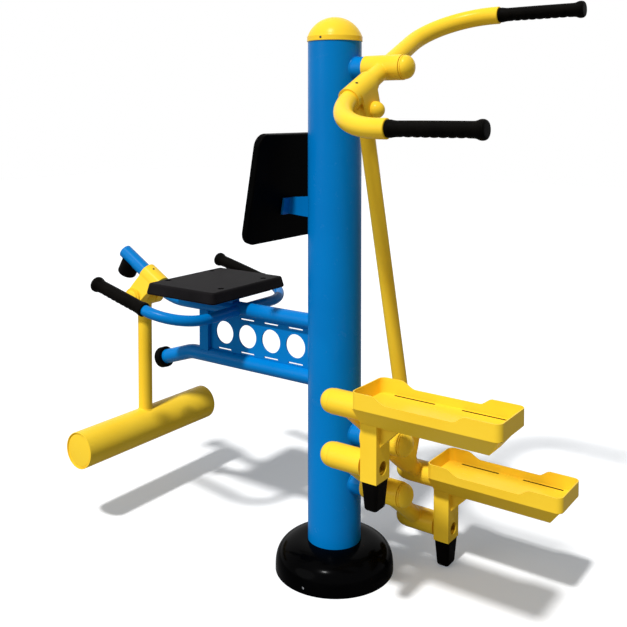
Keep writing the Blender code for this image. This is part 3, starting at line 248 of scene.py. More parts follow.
def moulded(name, slot, colour, gloss, grain, depth, specular):
    """Black moulded plastic with a fine grain, a trace of dust and painted shade in recesses."""
    made = Finish(name, slot)
    cells = made.add("ShaderNodeTexVoronoi", {"feature": "SMOOTH_F1"},
                     {"Vector": made.place(), "Scale": grain, "Smoothness": 0.6})
    cloud = made.noise(9.0, 4.0)
    dusty = tuple(part * 1.7 + 0.0006 for part in colour)
    dusted = made.tint(cloud.within(0.42, 0.78), (*colour, 1), (*dusty, 1))
    # Painted shade: faces marked by the attribute take the near-black recess colour.
    made.surface(
        Base_Color=made.tint(made.mark("painted_shade"), dusted, RECESS_SHADE),
        Roughness=gloss + 0.10 * cloud,
        Normal=made.bump(cells, depth),
        Specular_IOR_Level=specular)
    return made


COVER = moulded("glossy black cover", "base_gloss", (0.0004, 0.0004, 0.0005), gloss=0.10,
                grain=420.0, depth=0.00003, specular=0.016)
BACK = moulded("satin black backrest", "pad_vinyl", (0.0004, 0.0004, 0.0004), gloss=0.34,
               grain=700.0, depth=0.00010, specular=0.012)
SEAT = moulded("matt black seat board", "seat_board", (0.0062, 0.0055, 0.0060), gloss=0.50,
               grain=520.0, depth=0.00020, specular=0.022)
RUBBER = moulded("black rubber", "black_rubber", (0.0016, 0.0014, 0.0012), gloss=0.50,
                 grain=900.0, depth=0.00008, specular=0.02)

# %% [markdown]
# The grips are the same rubber, with fine rings pressed into it so that wet hands hold.
# The rings run round each grip, whichever way it points. So each grip carries the
# distance along itself as an attribute of its points, and the bump reads that.

# %% Ringed grip rubber
RING_PITCH, CUFF_END, RINGS_START = 0.0028, 0.020, 0.032

GRIP = Finish("ringed grip rubber", "black_rubber")
along = GRIP.mark("along")
rings = GRIP.add("ShaderNodeMath", {"operation": "SINE"}, {0: along * (2 * pi / RING_PITCH)})
cloud = GRIP.noise(22.0, 4.0)
GRIP.surface(
    Base_Color=GRIP.tint(cloud.within(0.40, 0.75), (0.0018, 0.0015, 0.0011, 1),
                         (0.0034, 0.0029, 0.0022, 1)),
    Roughness=0.46 + 0.12 * cloud,
    Normal=GRIP.bump(rings * along.within(CUFF_END, RINGS_START)
                     + 0.6 * GRIP.noise(700.0, 1.0), 0.00022),
    Specular_IOR_Level=0.02)

# %% [markdown]
# The axles and bearings inside the hubs are bright turned steel. They hardly show, but
# someone who opens the model finds them, so they get fine turning marks. The screws
# that lock the cap, the strap and the fork are the same steel, blackened.

# %% Turned steel
def turned_steel(name, dark, pale):
    """Steel with fine marks round the X axis, between two shades."""
    made = Finish(name, "bright_steel")
    marks = made.noise(1.0, 2.0, stretch=(1400.0, 20.0, 20.0))
    made.surface(
        Base_Color=made.tint(marks, (*dark, 1), (*pale, 1)),
        Roughness=0.24 + 0.14 * marks, Metallic=1.0, Normal=made.bump(marks, 0.00005))
    return made


STEEL = turned_steel("turned steel", (0.50, 0.51, 0.53), (0.63, 0.64, 0.66))
DARK_STEEL = turned_steel("black-oxide steel", (0.020, 0.019, 0.018), (0.045, 0.042, 0.040))

# %% [markdown]
# ## Floor and light
#
# The photograph is a studio shot on white, with grey shadows that blur as they leave
# the object. A sun lamp high up on the near side draws those shadows, and a weaker,
# much broader one lights the near faces. The world gives even light to the object, and
# shows as plain white to the camera and in reflections. The floor is pale paint with a
# little light of its own, so that it closes to white where nothing shades it and keeps
# the shadows.

# %% Light
def sun(name, towards, level, spread):
    """A sun lamp. level is the share of a colour that a face turned to it shows."""
    lamp = bpy.data.objects.new(name, bpy.data.lights.new(name, "SUN"))
    bpy.context.scene.collection.objects.link(lamp)
    lamp.data.energy = level * pi
    lamp.data.angle = spread
    lamp.rotation_euler = (-Vector(towards)).to_track_quat("-Z", "Y").to_euler()


AMBIENT = 0.20
KEY_LEVEL, KEY_SPREAD, KEY_TOWARDS = 1.00, radians(4.5), (0.06, -0.61, 1.0)
FILL_LEVEL, FILL_SPREAD, FILL_TOWARDS = 0.24, radians(40), (-0.50, -1.0, 0.45)
sun("key light", KEY_TOWARDS, KEY_LEVEL, KEY_SPREAD)
sun("fill light", FILL_TOWARDS, FILL_LEVEL, FILL_SPREAD)

world = bpy.data.worlds.new("studio")
bpy.context.scene.world = world
world.use_nodes = True
world.node_tree.nodes.clear()
studio = Tree(world.node_tree)
seen = studio.add("ShaderNodeLightPath", output="Is Camera Ray")
for ray in ("Is Glossy Ray", "Is Transmission Ray"):
    seen = seen.sum_with("MAXIMUM", seen, studio.add("ShaderNodeLightPath", output=ray))
even = studio.add("ShaderNodeBackground", {},
                  {"Color": (0.97, 0.985, 1.0, 1), "Strength": AMBIENT})
white = studio.add("ShaderNodeBackground", {}, {"Color": (1, 1, 1, 1), "Strength": 1.0})
shown = studio.add("ShaderNodeMixShader", {}, {0: seen, 1: even, 2: white})
studio.add("ShaderNodeOutputWorld", {}, {"Surface": shown})
bpy.context.scene.view_settings.view_transform = "Standard"
print("lamps", KEY_LEVEL, "and", FILL_LEVEL, "over even light of", AMBIENT)

# %% Floor
FLOOR_HALF, FLOOR_DROP = 12.0, 0.0004
bm = bmesh.new()
bmesh.ops.create_grid(bm, x_segments=1, y_segments=1, size=FLOOR_HALF)
floor_mesh = bpy.data.meshes.new("floor")
bm.to_mesh(floor_mesh)
bm.free()
floor = bpy.data.objects.new("floor", floor_mesh)
bpy.context.scene.collection.objects.link(floor)
floor.location.z = -FLOOR_DROP
pale = Finish("pale floor", "blue_paint")
seen_floor = pale.add("ShaderNodeLightPath", output="Is Camera Ray")
pale.surface(Base_Color=pale.tint(seen_floor, (0.26, 0.26, 0.26, 1), (0.88, 0.88, 0.88, 1)),
             Roughness=0.9, Specular_IOR_Level=0.0, Emission_Strength=0.18,
             Emission_Color=pale.tint(seen_floor, (0.20, 0.20, 0.20, 1), (0.84, 0.91, 1.0, 1)))
floor_mesh.materials.append(pale.material)

# %% [markdown]
# ## Modelling helpers
#
# Most pieces are turned, bent from tube or cut from plate, so a few helpers make them
# with the mesh operators that match: `spun` spins a half profile round a line, `pipe`
# extrudes a ring of edges along straight runs and spins it round each bend, `prism`
# extrudes a flat outline, `block` scales a cube, and `lofted` closes a shape through
# rings of points. `carve` and `merge` cut and join them. `soften` then bevels the hard
# edges, because no real edge is perfectly sharp and the highlight along it is what
# makes a solid look made.

# %% Basic shapes
ROUND = 96                    # points round a turned part
GAP = 0.0003                  # clearance between pieces that sit on one another
TUBE_EDGE, CAST_EDGE = 0.0008, 0.0007     # how far edges of tube and of castings are softened
SAME_POINT, SAME_AFTER_CUT = 0.000002, 0.000005
POINT, EDGE = bmesh.types.BMVert, bmesh.types.BMEdge
X_AXIS, Y_AXIS = Vector((1, 0, 0)), Vector((0, 1, 0))
SIDES = ((-1, "near"), (1, "far"))


def only(kind, items):
    """The points or the edges among what a mesh operator gives back."""
    return [item for item in items if isinstance(item, kind)]


def aimed(start, direction):
    """A matrix that puts Z along a direction, from a start."""
    turn = Vector(direction).to_track_quat("Z", "Y").to_matrix().to_4x4()
    return Matrix.Translation(Vector(start)) @ turn


def tidy(bm):
    """Merge doubled points and turn every face outwards."""
    bmesh.ops.remove_doubles(bm, verts=bm.verts, dist=SAME_POINT)
    bmesh.ops.recalc_face_normals(bm, faces=bm.faces)
    return bm


def spun(profile, start=(0, 0, 0), direction=(0, 0, 1), steps=ROUND, closed=False):
    """Spin (distance, radius) points round the line from start along direction."""
    bm = bmesh.new()
    points = [bm.verts.new((radius, 0, distance)) for distance, radius in profile]
    edges = [bm.edges.new(pair) for pair in zip(points, points[1:])]
    if closed:
        edges.append(bm.edges.new((points[-1], points[0])))
    bmesh.ops.spin(bm, geom=points + edges, cent=(0, 0, 0), axis=(0, 0, 1), angle=2 * pi,
                   steps=steps, use_merge=True)
    bm.transform(aimed(start, direction))
    return tidy(bm)


def hollow(low, high, inner, outer, **where):
    """A tube with a real wall, from low to high along its line."""
    return spun([(low, inner), (low, outer), (high, outer), (high, inner)], closed=True, **where)


def rod(start, end, radius, steps=ROUND):
    """A plain round bar."""
    length = (Vector(end) - Vector(start)).length
    profile = [(0, 0), (0, radius), (length, radius), (length, 0)]
    return spun(profile, start, Vector(end) - Vector(start), steps)


def block(low, high):
    """A box between two corners."""
    low, high = Vector(low), Vector(high)
    bm = bmesh.new()
    bmesh.ops.create_cube(bm, size=1)
    bmesh.ops.scale(bm, vec=high - low, verts=bm.verts)
    bmesh.ops.translate(bm, vec=(low + high) / 2, verts=bm.verts)
    return bm


# %% Outlines, lofts and bent tube
def prism(outline, low, high, axis="Z"):
    """Extrude a flat outline from low to high along an axis."""
    order = {"X": (2, 0, 1), "Y": (0, 2, 1), "Z": (0, 1, 2)}[axis]
    bm = bmesh.new()
    ring = [bm.verts.new([(across, up, low)[index] for index in order]) for across, up in outline]
    made = bmesh.ops.extrude_face_region(bm, geom=[bm.faces.new(ring)])["geom"]
    step = Vector([(0, 0, high - low)[index] for index in order])
    bmesh.ops.translate(bm, vec=step, verts=only(POINT, made))
    return tidy(bm)


def lofted(rings):
    """A closed shape through rings of points, each joined to the next."""
    bm = bmesh.new()
    loops = []
    for ring in rings:
        points = [bm.verts.new(point) for point in ring]
        loops.append([bm.edges.new((points[index], points[index - 1]))
                      for index in range(len(points))])
    for below, above in zip(loops, loops[1:]):
        bmesh.ops.bridge_loops(bm, edges=below + above)
    bmesh.ops.holes_fill(bm, edges=[e for e in bm.edges if e.is_boundary])
    return tidy(bm)


def arc(centre, radius, start, end, steps):
    """Points on a circle from one angle to another."""
    angles = [start + (end - start) * index / steps for index in range(steps + 1)]
    return [(centre[0] + radius * cos(angle), centre[1] + radius * sin(angle))
            for angle in angles]


def rounded(half_length, half_width, corner, steps, middle=(0, 0)):
    """A rectangle's outline with round corners."""
    points = []
    for turn, (side, end) in enumerate(((1, 1), (-1, 1), (-1, -1), (1, -1))):
        centre = (middle[0] + side * (half_length - corner),
                  middle[1] + end * (half_width - corner))
        points += arc(centre, corner, turn * pi / 2, (turn + 1) * pi / 2, steps)
    return points


def push(bm, edges, step):
    """Extrude edges by a step and give back the new edges."""
    made = bmesh.ops.extrude_edge_only(bm, edges=edges)["geom"]
    bmesh.ops.translate(bm, vec=step, verts=only(POINT, made))
    ends = set(only(POINT, made))
    return [e for e in only(EDGE, made) if ends.issuperset(e.verts)]


def pipe(corners, bend, radius):
    """A bar along straight runs, spun round each corner at one bend radius."""
    corners = [Vector(corner) for corner in corners]
    bm = bmesh.new()
    start = aimed(corners[0], corners[1] - corners[0])
    bmesh.ops.create_circle(bm, segments=56, radius=radius, matrix=start)
    edges, here = list(bm.edges), corners[0]
    for before, corner, after in zip(corners, corners[1:], corners[2:]):
        back, ahead = (before - corner).normalized(), (after - corner).normalized()
        turn = pi - back.angle(ahead)
        reach = bend * tan(turn / 2)
        edges = push(bm, edges, corner + back * reach - here)
        centre = corner + (back + ahead).normalized() * bend / cos(turn / 2)
        made = bmesh.ops.spin(bm, geom=edges + list({v for e in edges for v in e.verts}),
                              cent=centre, axis=back.cross(ahead).normalized(), angle=-turn,
                              steps=max(3, round(turn / radians(5))))["geom_last"]
        edges, here = only(EDGE, made), corner + ahead * reach
    push(bm, edges, corners[-1] - here)
    bmesh.ops.holes_fill(bm, edges=[e for e in bm.edges if e.is_boundary])
    return tidy(bm)


# %% Cutting, joining and softening
def as_object(bm):
    """A plain object from a bmesh, for a Boolean."""
    mesh = bpy.data.meshes.new("blank")
    bm.to_mesh(mesh)
    bm.free()
    made = bpy.data.objects.new("blank", mesh)
    bpy.context.scene.collection.objects.link(made)
    return made


def combined(shape, others, operation):
    """Apply one Boolean for each other shape."""
    blank = as_object(shape)
    for other in others:
        tool = as_object(other)
        modifier = blank.modifiers.new("boolean", "BOOLEAN")
        modifier.operation, modifier.solver, modifier.object = operation, "EXACT", tool
        shaped = bpy.data.meshes.new_from_object(
            blank.evaluated_get(bpy.context.evaluated_depsgraph_get()))
        blank.modifiers.clear()
        blank.data = shaped
        bpy.data.objects.remove(tool, do_unlink=True)
    bm = bmesh.new()
    bm.from_mesh(blank.data)
    bpy.data.objects.remove(blank, do_unlink=True)
    bmesh.ops.remove_doubles(bm, verts=bm.verts, dist=SAME_AFTER_CUT)
    bmesh.ops.dissolve_limit(bm, angle_limit=radians(0.4), verts=bm.verts, edges=bm.edges)
    return bm


def carve(shape, *others):
    """Cut other shapes out of this one."""
    return combined(shape, others, "DIFFERENCE")


def merge(shape, *others):
    """Weld other shapes to this one."""
    return combined(shape, others, "UNION")


def soften(bm, width, limit=35, segments=3, edges=None):
    """Round given edges, or those that turn by more than a limit, in degrees."""
    edges = edges or [e for e in bm.edges
                      if e.is_manifold and e.calc_face_angle(0) > radians(limit)]
    bmesh.ops.bevel(bm, geom=edges, offset=width, offset_type="OFFSET", segments=segments,
                    profile=0.5, affect="EDGES", clamp_overlap=True, material=-1)
    return bm


def mark_painted_shade(bm, in_shade):
    """Mark the faces that a test picks as the ones that take painted shade."""
    painted_shade = bm.faces.layers.float.new("painted_shade")
    for face in bm.faces:
        face[painted_shade] = float(in_shade(face))
    return bm


def piece(bm, name, finish, body, *nodes, at=None):
    """Turn a bmesh into a finished piece that rides on a body and stands for CAD nodes."""
    if at is not None:
        bm.transform(at)
    mesh = bpy.data.meshes.new(name)
    bm.to_mesh(mesh)
    bm.free()
    made = bpy.data.objects.new(name, mesh)
    bpy.context.scene.collection.objects.link(made)
    mesh.materials.append(finish.material)
    mesh.shade_smooth()
    mesh.set_sharp_from_angle(angle=radians(50))
    made.modifiers.new("even shading", "WEIGHTED_NORMAL").keep_sharp = True
    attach(made, body)
    if nodes:
        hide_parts(*nodes)
    print(f"{name}: {len(mesh.polygons)} faces on {body}")


# %% [markdown]
# ## Round ends, screws and welds
#
# Three small details come back all over the machine. Caps and pin heads are domes: a
# quarter of an ellipse, spun. Loose parts are locked by socket screws in round
# recesses. And where a tube is welded to another there is a narrow bead, a ring whose
# points are moved on to the curve along which the two tubes meet.

# %% Domes, screws and welds
BEAD = 0.0024


def dome(base, radius, rise, steps=20):
    """(distance, radius) points from a dome's base to its tip."""
    angles = [pi / 2 * index / steps for index in range(steps)]
    return ([(base + rise * sin(angle), radius * cos(angle)) for angle in angles]
            + [(base + rise, 0)])


def domed_head(radius, band, rise):
    """A pin's head along Z: a band with a fine chamfer, then a dome."""
    return spun([(0, 0), (0, radius - 0.0005), (0.0005, radius), (band, radius)]
                + dome(band, radius, rise)[1:], steps=72)


def socket_screw(radius, height):
    """A cylinder head screw with its hexagon socket, standing on the origin along Z."""
    head = spun([(0, 0), (0, radius), (height, radius), (height, 0)], steps=32)
    socket = spun([(height * 0.45, 0), (height * 0.45, radius * 0.55), (height * 2, radius * 0.55),
                   (height * 2, 0)], steps=6)
    return soften(carve(soften(head, radius * 0.12), socket), radius * 0.02, segments=1)


def screw_recess(point, out, depth, radius, steps=32):
    """The cutter for a screw's round recess, sunk into a surface that faces out."""
    return rod(point - depth * out, point + 0.012 * out, radius, steps)


def weld(name, finish, body, tube, trunk, at):
    """The bead of a tube along Z that stands on a round trunk along X, placed by at."""
    bm = spun([(BEAD * sin(angle), tube + BEAD * cos(angle) * 0.8)
               for angle in [2 * pi * index / 10 for index in range(10)]], steps=72, closed=True)
    for vert in bm.verts:
        apart = hypot(vert.co.x, vert.co.y)
        across = vert.co.y / max(apart, 1e-9) * min(apart, trunk)
        vert.co.z += sqrt(max(trunk ** 2 - across ** 2, 0.0))
    piece(bm, name, finish, body, at=at)


# %% [markdown]
# ## Post and cap
#
# The post is a 140 mm steel tube, so it is spun as a ring with a real wall. The cap is
# a pressed dome that stands on a short band, and the band is a little wider than the
# dome. That small ledge gives the thin highlight which separates them. A locking screw
# sits in the band on the near side.

# %% Post and cap
POST, POST_BORE, POST_FOOT, POST_TOP = 0.070, 0.066, 0.0103, 1.3975
CAP_RIM, CAP_BAND, CAP_RISE, CAP, LEDGE = 1.3863, 0.0135, 0.0504, 0.0721, 0.0009
CAP_SEAT, CAP_SKIRT = POST_TOP + 0.0004, 0.0703
CAP_SCREW_TURN, CAP_SCREW = radians(-86.3), 1.3936

tube = hollow(POST_FOOT, POST_TOP, POST_BORE, POST, steps=144)
piece(soften(tube, 0.0006), "post_tube", BLUE, "root", "post")

foot_of_dome, dome_radius = CAP_RIM + CAP_BAND, CAP - LEDGE
ball = (dome_radius ** 2 + CAP_RISE ** 2) / (2 * CAP_RISE)
whole = atan2(dome_radius, ball - CAP_RISE)
crown = [(foot_of_dome - ball * cos(whole) + ball * cos(angle), ball * sin(angle))
         for angle in [whole * (1 - index / 28) for index in range(29)]]
profile = [(CAP_SEAT, 0), (CAP_SEAT, CAP_SKIRT), (CAP_RIM, CAP_SKIRT), (CAP_RIM, CAP - 0.0006),
           (CAP_RIM + 0.0006, CAP), (foot_of_dome - 0.0010, CAP),
           (foot_of_dome - 0.0004, CAP - 0.0003)]
cap = spun(profile + crown, steps=144)
at_screw = Matrix.Rotation(CAP_SCREW_TURN, 4, "Z") @ Matrix.Translation((CAP, 0, CAP_SCREW))
recess = screw_recess(Vector(), X_AXIS, depth=0.0014, radius=0.0034, steps=40)
recess.transform(at_screw)
piece(soften(carve(cap, recess), 0.00025, limit=40, segments=2), "dome_cap", YELLOW, "root",
      "post_cap")
piece(socket_screw(radius=0.0029, height=0.0009), "cap_screw", DARK_STEEL, "root",
      at=at_screw @ aimed((-0.0013, 0, 0), X_AXIS))

# %% [markdown]
# ## Base cover
#
# A glossy moulding hides the bolted flange at the foot. In side view it bulges like a
# cushion: steep at the ground, then round and nearly flat at the post. A superellipse
# has just that fullness, so its curve is the profile that is spun, with an inner curve
# for the 3 mm wall. One screw recess shows low on the near side.

# %% Base cover
COVER_NECK, COVER_RADIUS, COVER_HEIGHT, COVER_WALL = 0.0743, 0.156, 0.080, 0.003
COVER_LIP = [(0.0796, 0.0708), (0.0790, 0.0704), (0.0770, 0.0704)]
COVER_SCREW_TURN, COVER_SCREW = radians(-86.5), (0.1530, 0, 0.0135)


def bulge(inset, steps):
    """A quarter superellipse from the ground to the neck, at an inset from the outside."""
    radius, height = COVER_RADIUS - inset, COVER_HEIGHT - inset
    return [(height * max(sin(angle), 0) ** (2 / 3.182),
             COVER_NECK + (radius - COVER_NECK) * max(cos(angle), 0) ** (2 / 2.095))
            for angle in [pi / 2 * index / steps for index in range(steps + 1)]]


profile = bulge(0, 44) + COVER_LIP + bulge(COVER_WALL, 24)[::-1]
cover = spun(profile, steps=144, closed=True)
at_screw = Matrix.Rotation(COVER_SCREW_TURN, 4, "Z") @ Matrix.Translation(COVER_SCREW)
recess = screw_recess(Vector(), X_AXIS, depth=0.0010, radius=0.0042, steps=40)
recess.transform(at_screw)
piece(carve(cover, recess), "base_shell", COVER, "root", "base_cover")
piece(socket_screw(radius=0.0036, height=0.0014), "cover_screw", STEEL, "root",
      at=at_screw @ aimed((-0.0008, 0, 0), X_AXIS))

# %% [markdown]
# ## Hubs
#
# Three hubs stand out from the post, one for the handle and two for the stepper. Each
# has a blue stub that is welded to the post, a yellow sleeve that turns on bearings,
# and a domed cap with a groove round its foot. The moving bodies are turned to their
# rest pose about X, so one matrix for each body is all that places its pieces.

# %% Frames of the moving bodies
HANDLE_HUB, UPPER_HUB, LOWER_HUB = 1.3146, 0.3745, 0.2454
HANDLE_TILT, STEP_TILT, STEP_ARM, STEP_TUBE = radians(26.7), radians(38.25), 0.2318, 0.0210
ARM_X, LINK_X = 0.1500, 0.1512


def tilted(height, angle):
    """A frame on the post's axis at a height, turned about X."""
    return Matrix.Translation((0, 0, height)) @ Matrix.Rotation(angle, 4, "X")


def along_arm(place, side):
    """A frame at a place on a body's arm, with Z along the arm to one side."""
    return Matrix.Translation((ARM_X, place, 0)) @ Matrix.Rotation(-side * pi / 2, 4, "X")


HANDLE_FRAME = tilted(HANDLE_HUB, HANDLE_TILT)
UPPER_FRAME = tilted(UPPER_HUB, -STEP_TILT)
LOWER_FRAME = tilted(LOWER_HUB, -STEP_TILT)

# %% Hubs
HUB, HUB_SLEEVE, HUB_BORE, HUB_PLUG = 0.0301, 0.0318, 0.0260, 0.0257
HUB_START, HUB_END, HUB_TIP = 0.0973, 0.2037, 0.2325
STUB_START, STUB_END = 0.0605, 0.0966
BAND, BAND_WIDTH, DOME, GROOVE = 0.0302, 0.0054, 0.0296, 0.0284


def hub_cap():
    """The domed plug of a hub, with a groove behind its band and a fine one before the dome."""
    rim, inner = HUB_END + 0.0012, HUB_END - 0.0065
    foot = rim + BAND_WIDTH
    profile = [(inner, 0), (inner, HUB_PLUG - 0.0004), (inner + 0.0005, HUB_PLUG), (rim, HUB_PLUG),
               (rim, BAND - 0.0005), (rim + 0.0005, BAND), (foot - 0.0016, BAND),
               (foot - 0.0012, BAND - 0.0004), (foot - 0.0012, GROOVE), (foot, GROOVE)]
    return spun(profile + dome(foot, DOME, HUB_TIP - foot, 28), direction=X_AXIS)


for name, height, turn, body in (("handle", HANDLE_HUB, HANDLE_FRAME, "handle_rocker"),
                                 ("upper", UPPER_HUB, UPPER_FRAME, "upper_rocker"),
                                 ("lower", LOWER_HUB, LOWER_FRAME, "lower_rocker")):
    piece(soften(rod((STUB_START, 0, height), (STUB_END, 0, height), HUB), TUBE_EDGE),
          name + "_stub_tube", BLUE, "root", name + "_stub")
    weld(name + "_stub_weld", BLUE, "root", HUB, POST,
         Matrix.Translation((0, 0, height)) @ Matrix.Rotation(pi / 2, 4, "Y"))
    piece(hub_cap(), name + "_dome", YELLOW, body, name + "_hub_cap", at=turn)
piece(soften(hollow(HUB_START, HUB_END, HUB_BORE, HUB_SLEEVE, direction=X_AXIS), TUBE_EDGE),
      "handle_sleeve", YELLOW, "handle_rocker", "handle_hub", at=HANDLE_FRAME)

# %% [markdown]
# ## Rocking handle
#
# Each arm is one length of tube with a single wide bend, welded into the hub. `pipe`
# makes it as a bender does: a straight run, a bend about a centre, a straight run. The
# near arm is bent a little tighter, to leave room for the collar of the link rod. The
# bead where an arm enters the hub is made for a tube along Z on a trunk along X, and
# then turned so that Z points along the arm.

# %% Handle arms
HANDLE_TUBE, HANDLE_REACH = 0.0230, 0.3245
HANDLE_BEND = {"near": 0.160, "far": 0.172}
GRIP_START, GRIP_END, GRIP_TUBE = 0.3304, 0.5560, 0.0147

for side, name in SIDES:
    reach = side * HANDLE_REACH
    arm = pipe([(ARM_X, side * 0.0215, 0), (ARM_X, reach, 0), (GRIP_START - GAP, reach, 0)],
               HANDLE_BEND[name], HANDLE_TUBE)
    core = rod((GRIP_START - 0.010, reach, 0), (GRIP_END - 0.0043, reach, 0), GRIP_TUBE, 48)
    arm = merge(soften(arm, 0.0028, segments=4), core)
    piece(arm, name + "_arm_tube", YELLOW, "handle_rocker", name + "_handle_arm", at=HANDLE_FRAME)
    weld(name + "_arm_weld", YELLOW, "handle_rocker", HANDLE_TUBE, HUB_SLEEVE,
         HANDLE_FRAME @ along_arm(0, side))

# %% [markdown]
# ## Grips
#
# All four grips are the same rubber moulding: a cuff, a slightly swollen body with
# finger scallops underneath, and a flared, rounded end. The body is spun first. Then
# each point under the grip is drawn in by a row of half sine waves, whose narrow
# notches between wide lobes are what the photograph shows.

# %% Grips
CUFF = [(0, 0.0151), (0, 0.0186), (0.0006, 0.0192), (0.0016, 0.0195), (0.0080, 0.0195),
        (0.0100, 0.0192), (0.0125, 0.0187), (0.0160, 0.0181), (0.0200, 0.0177)]
FLARE, FLARE_CURVE = 0.0155, [
    (-0.0100, 0.0177), (-0.0060, 0.0185), (-0.0030, 0.0197), (-0.0005, 0.0207), (0.0020, 0.0213),
    (0.0045, 0.0216), (0.0075, 0.0215), (0.0100, 0.0210), (0.0125, 0.0198), (0.0143, 0.0182)]
BODY_START, BODY_STEPS, FINGERS, FINGER_DEPTH = 0.0220, 120, 8, 0.0026


def grip(length, start, direction):
    """A rubber grip from start along direction, with its finger scallops underneath."""
    flare = length - FLARE
    profile = [(length - 0.004, 0), (length - 0.004, 0.0151), *CUFF]
    for index in range(BODY_STEPS + 1):
        share = index / BODY_STEPS
        profile.append((BODY_START + (flare - 0.0140 - BODY_START) * share,
                        0.0175 + 0.0003 * sin(pi * share)))
    profile += [(flare + along, radius) for along, radius in FLARE_CURVE]
    profile += [(length - 0.0003, 0.0152), (length, 0.0107), (length, 0)]
    bm = spun(profile, steps=72)
    along = bm.verts.layers.float.new("along")
    place = aimed(start, direction)
    under = place.to_3x3().inverted() @ Vector((0, 0, -1))
    under = Vector((under.x, under.y, 0)).normalized()
    pitch, first = length * 0.0895, length * 0.172
    for vert in bm.verts:
        vert[along] = vert.co.z
        radius = hypot(vert.co.x, vert.co.y)
        share = (vert.co.z - first) / pitch
        if radius < 0.0165 or not -0.5 < share < FINGERS - 0.5:
            continue
        below = (vert.co.x * under.x + vert.co.y * under.y) / radius
        below = max(0.0, min(1.0, (below - 0.15) / 0.6))
        notch = 1 - sqrt(abs(sin(pi * share)))
        ends = min(1.0, (share + 0.5) * 3, (FINGERS - 0.5 - share) * 3)
        shrink = 1 - FINGER_DEPTH * notch * ends * below ** 2 * (3 - 2 * below) / radius
        vert.co.x *= shrink
        vert.co.y *= shrink
    bm.transform(place)
    return bm


for side, name in SIDES:
    start = HANDLE_FRAME @ Vector((GRIP_START, side * HANDLE_REACH, 0))
    piece(grip(GRIP_END - GRIP_START, start, X_AXIS), name + "_handle_rubber", GRIP,
          "handle_rocker", name + "_handle_grip")

# %% [markdown]
# ## Collars, cheeks and pins of the link rod
#
# The rod that ties the handle to the stepper hangs between two cheeks at each end. The
# cheeks grow out of a collar that is clamped round an arm. Each cheek is an outline of
# two tangents and a round end, extruded, and the collar and cheeks are welded with a
# Boolean before the arm's bore is cut, so that the bore stays clean.

# %% Cheeks and collars
CHEEK_IN, CHEEK_OUT, CHEEK_HALF, COLLAR_LENGTH = 0.0235, 0.0295, 0.036, 0.098
TOP_EYE, LOW_EYE, PIN_SHANK, PIN_LIFT = (-0.135, -0.050), (0.0865, 0.0727), 0.0078, 0.0002


def cheek_outline(middle, eye, end_radius):
    """A base on the arm's axis and a round end about the eye, joined by tangents."""
    side = 1 if eye[1] > 0 else -1
    tangents = []
    for end in (CHEEK_HALF, -CHEEK_HALF):
        across, up = middle + end - eye[0], -eye[1] * side
        spread = acos(end_radius / hypot(across, up))
        tangents.append(atan2(up, across) + (spread if end > 0 else -spread))
    if tangents[1] < tangents[0]:
        tangents[1] += 2 * pi
    points = [(middle - CHEEK_HALF, 0), (middle + CHEEK_HALF, 0)]
    return points + [(eye[0] + across, eye[1] + side * up)
                     for across, up in arc((0, 0), end_radius, *tangents, 32)]


def collar(arm_radius, outer, middle, eye, end_radius):
    """A collar round an arm along Y, with two cheeks that reach to the eye."""
    low, high = middle - COLLAR_LENGTH / 2, middle + COLLAR_LENGTH / 2
    bm = rod((ARM_X, low, 0), (ARM_X, high, 0), outer, 80)
    outline = cheek_outline(middle, eye, end_radius)
    for near, far in ((-CHEEK_OUT, -CHEEK_IN), (CHEEK_IN, CHEEK_OUT)):
        bm = merge(bm, prism(outline, LINK_X + near, LINK_X + far, "X"))
        out = LINK_X - ARM_X + (near if near < 0 else far)
        if abs(out) < outer + 0.001:
            continue
        touch, towards = acos(outer / abs(out)), outer * out / abs(out)
        up = 1 if eye[1] < 0 else -1
        lean = [(out, -0.002 * up), (out, 0), (towards * cos(touch), outer * sin(touch) * up),
                (0.8 * towards, 0), (0.9 * out, -0.002 * up)]
        bm = merge(bm, prism([(ARM_X + across, rise) for across, rise in lean],
                             middle - CHEEK_HALF, middle + CHEEK_HALF, "Y"))
    hole = rod((ARM_X, low - 0.01, 0), (ARM_X, high + 0.01, 0), arm_radius + GAP, 80)
    return carve(bm, hole)


def pin_heads(name, body, turn, eye, lift, *outer):
    """A domed head on each cheek of an eye. The outer one stands for CAD nodes."""
    for side, end in ((-1, "inner"), (1, "outer")):
        place = aimed((LINK_X + side * (CHEEK_OUT + lift), *eye), side * X_AXIS)
        head = domed_head(radius=0.0210, band=0.0040, rise=0.0220)
        piece(head, f"{name}_{end}_head", YELLOW, body, *(outer if side > 0 else ()),
              at=turn @ place)


# %% Straps and pins
out, screw_at = Vector((0.0090, 0, 0.0269)).normalized(), Vector((ARM_X + 0.0090, -0.1459, 0.0269))
strap = collar(HANDLE_TUBE, outer=0.0284, middle=-0.133, eye=TOP_EYE, end_radius=0.031)
strap = carve(strap, screw_recess(screw_at, out, depth=0.0018, radius=0.0040))
piece(soften(strap, CAST_EDGE, limit=38, segments=2), "link_strap", YELLOW, "handle_rocker",
      "link_collar", at=HANDLE_FRAME)
piece(socket_screw(radius=0.0036, height=0.0012), "strap_screw", DARK_STEEL, "handle_rocker",
      at=HANDLE_FRAME @ aimed(screw_at - 0.0017 * out, out))
pin_heads("link_pin", "handle_rocker", HANDLE_FRAME, TOP_EYE, PIN_LIFT, "link_top_pin")
piece(rod((LINK_X - CHEEK_OUT, *TOP_EYE), (LINK_X + CHEEK_OUT, *TOP_EYE), PIN_SHANK, 40),
      "link_pin_shank", STEEL, "handle_rocker", at=HANDLE_FRAME)

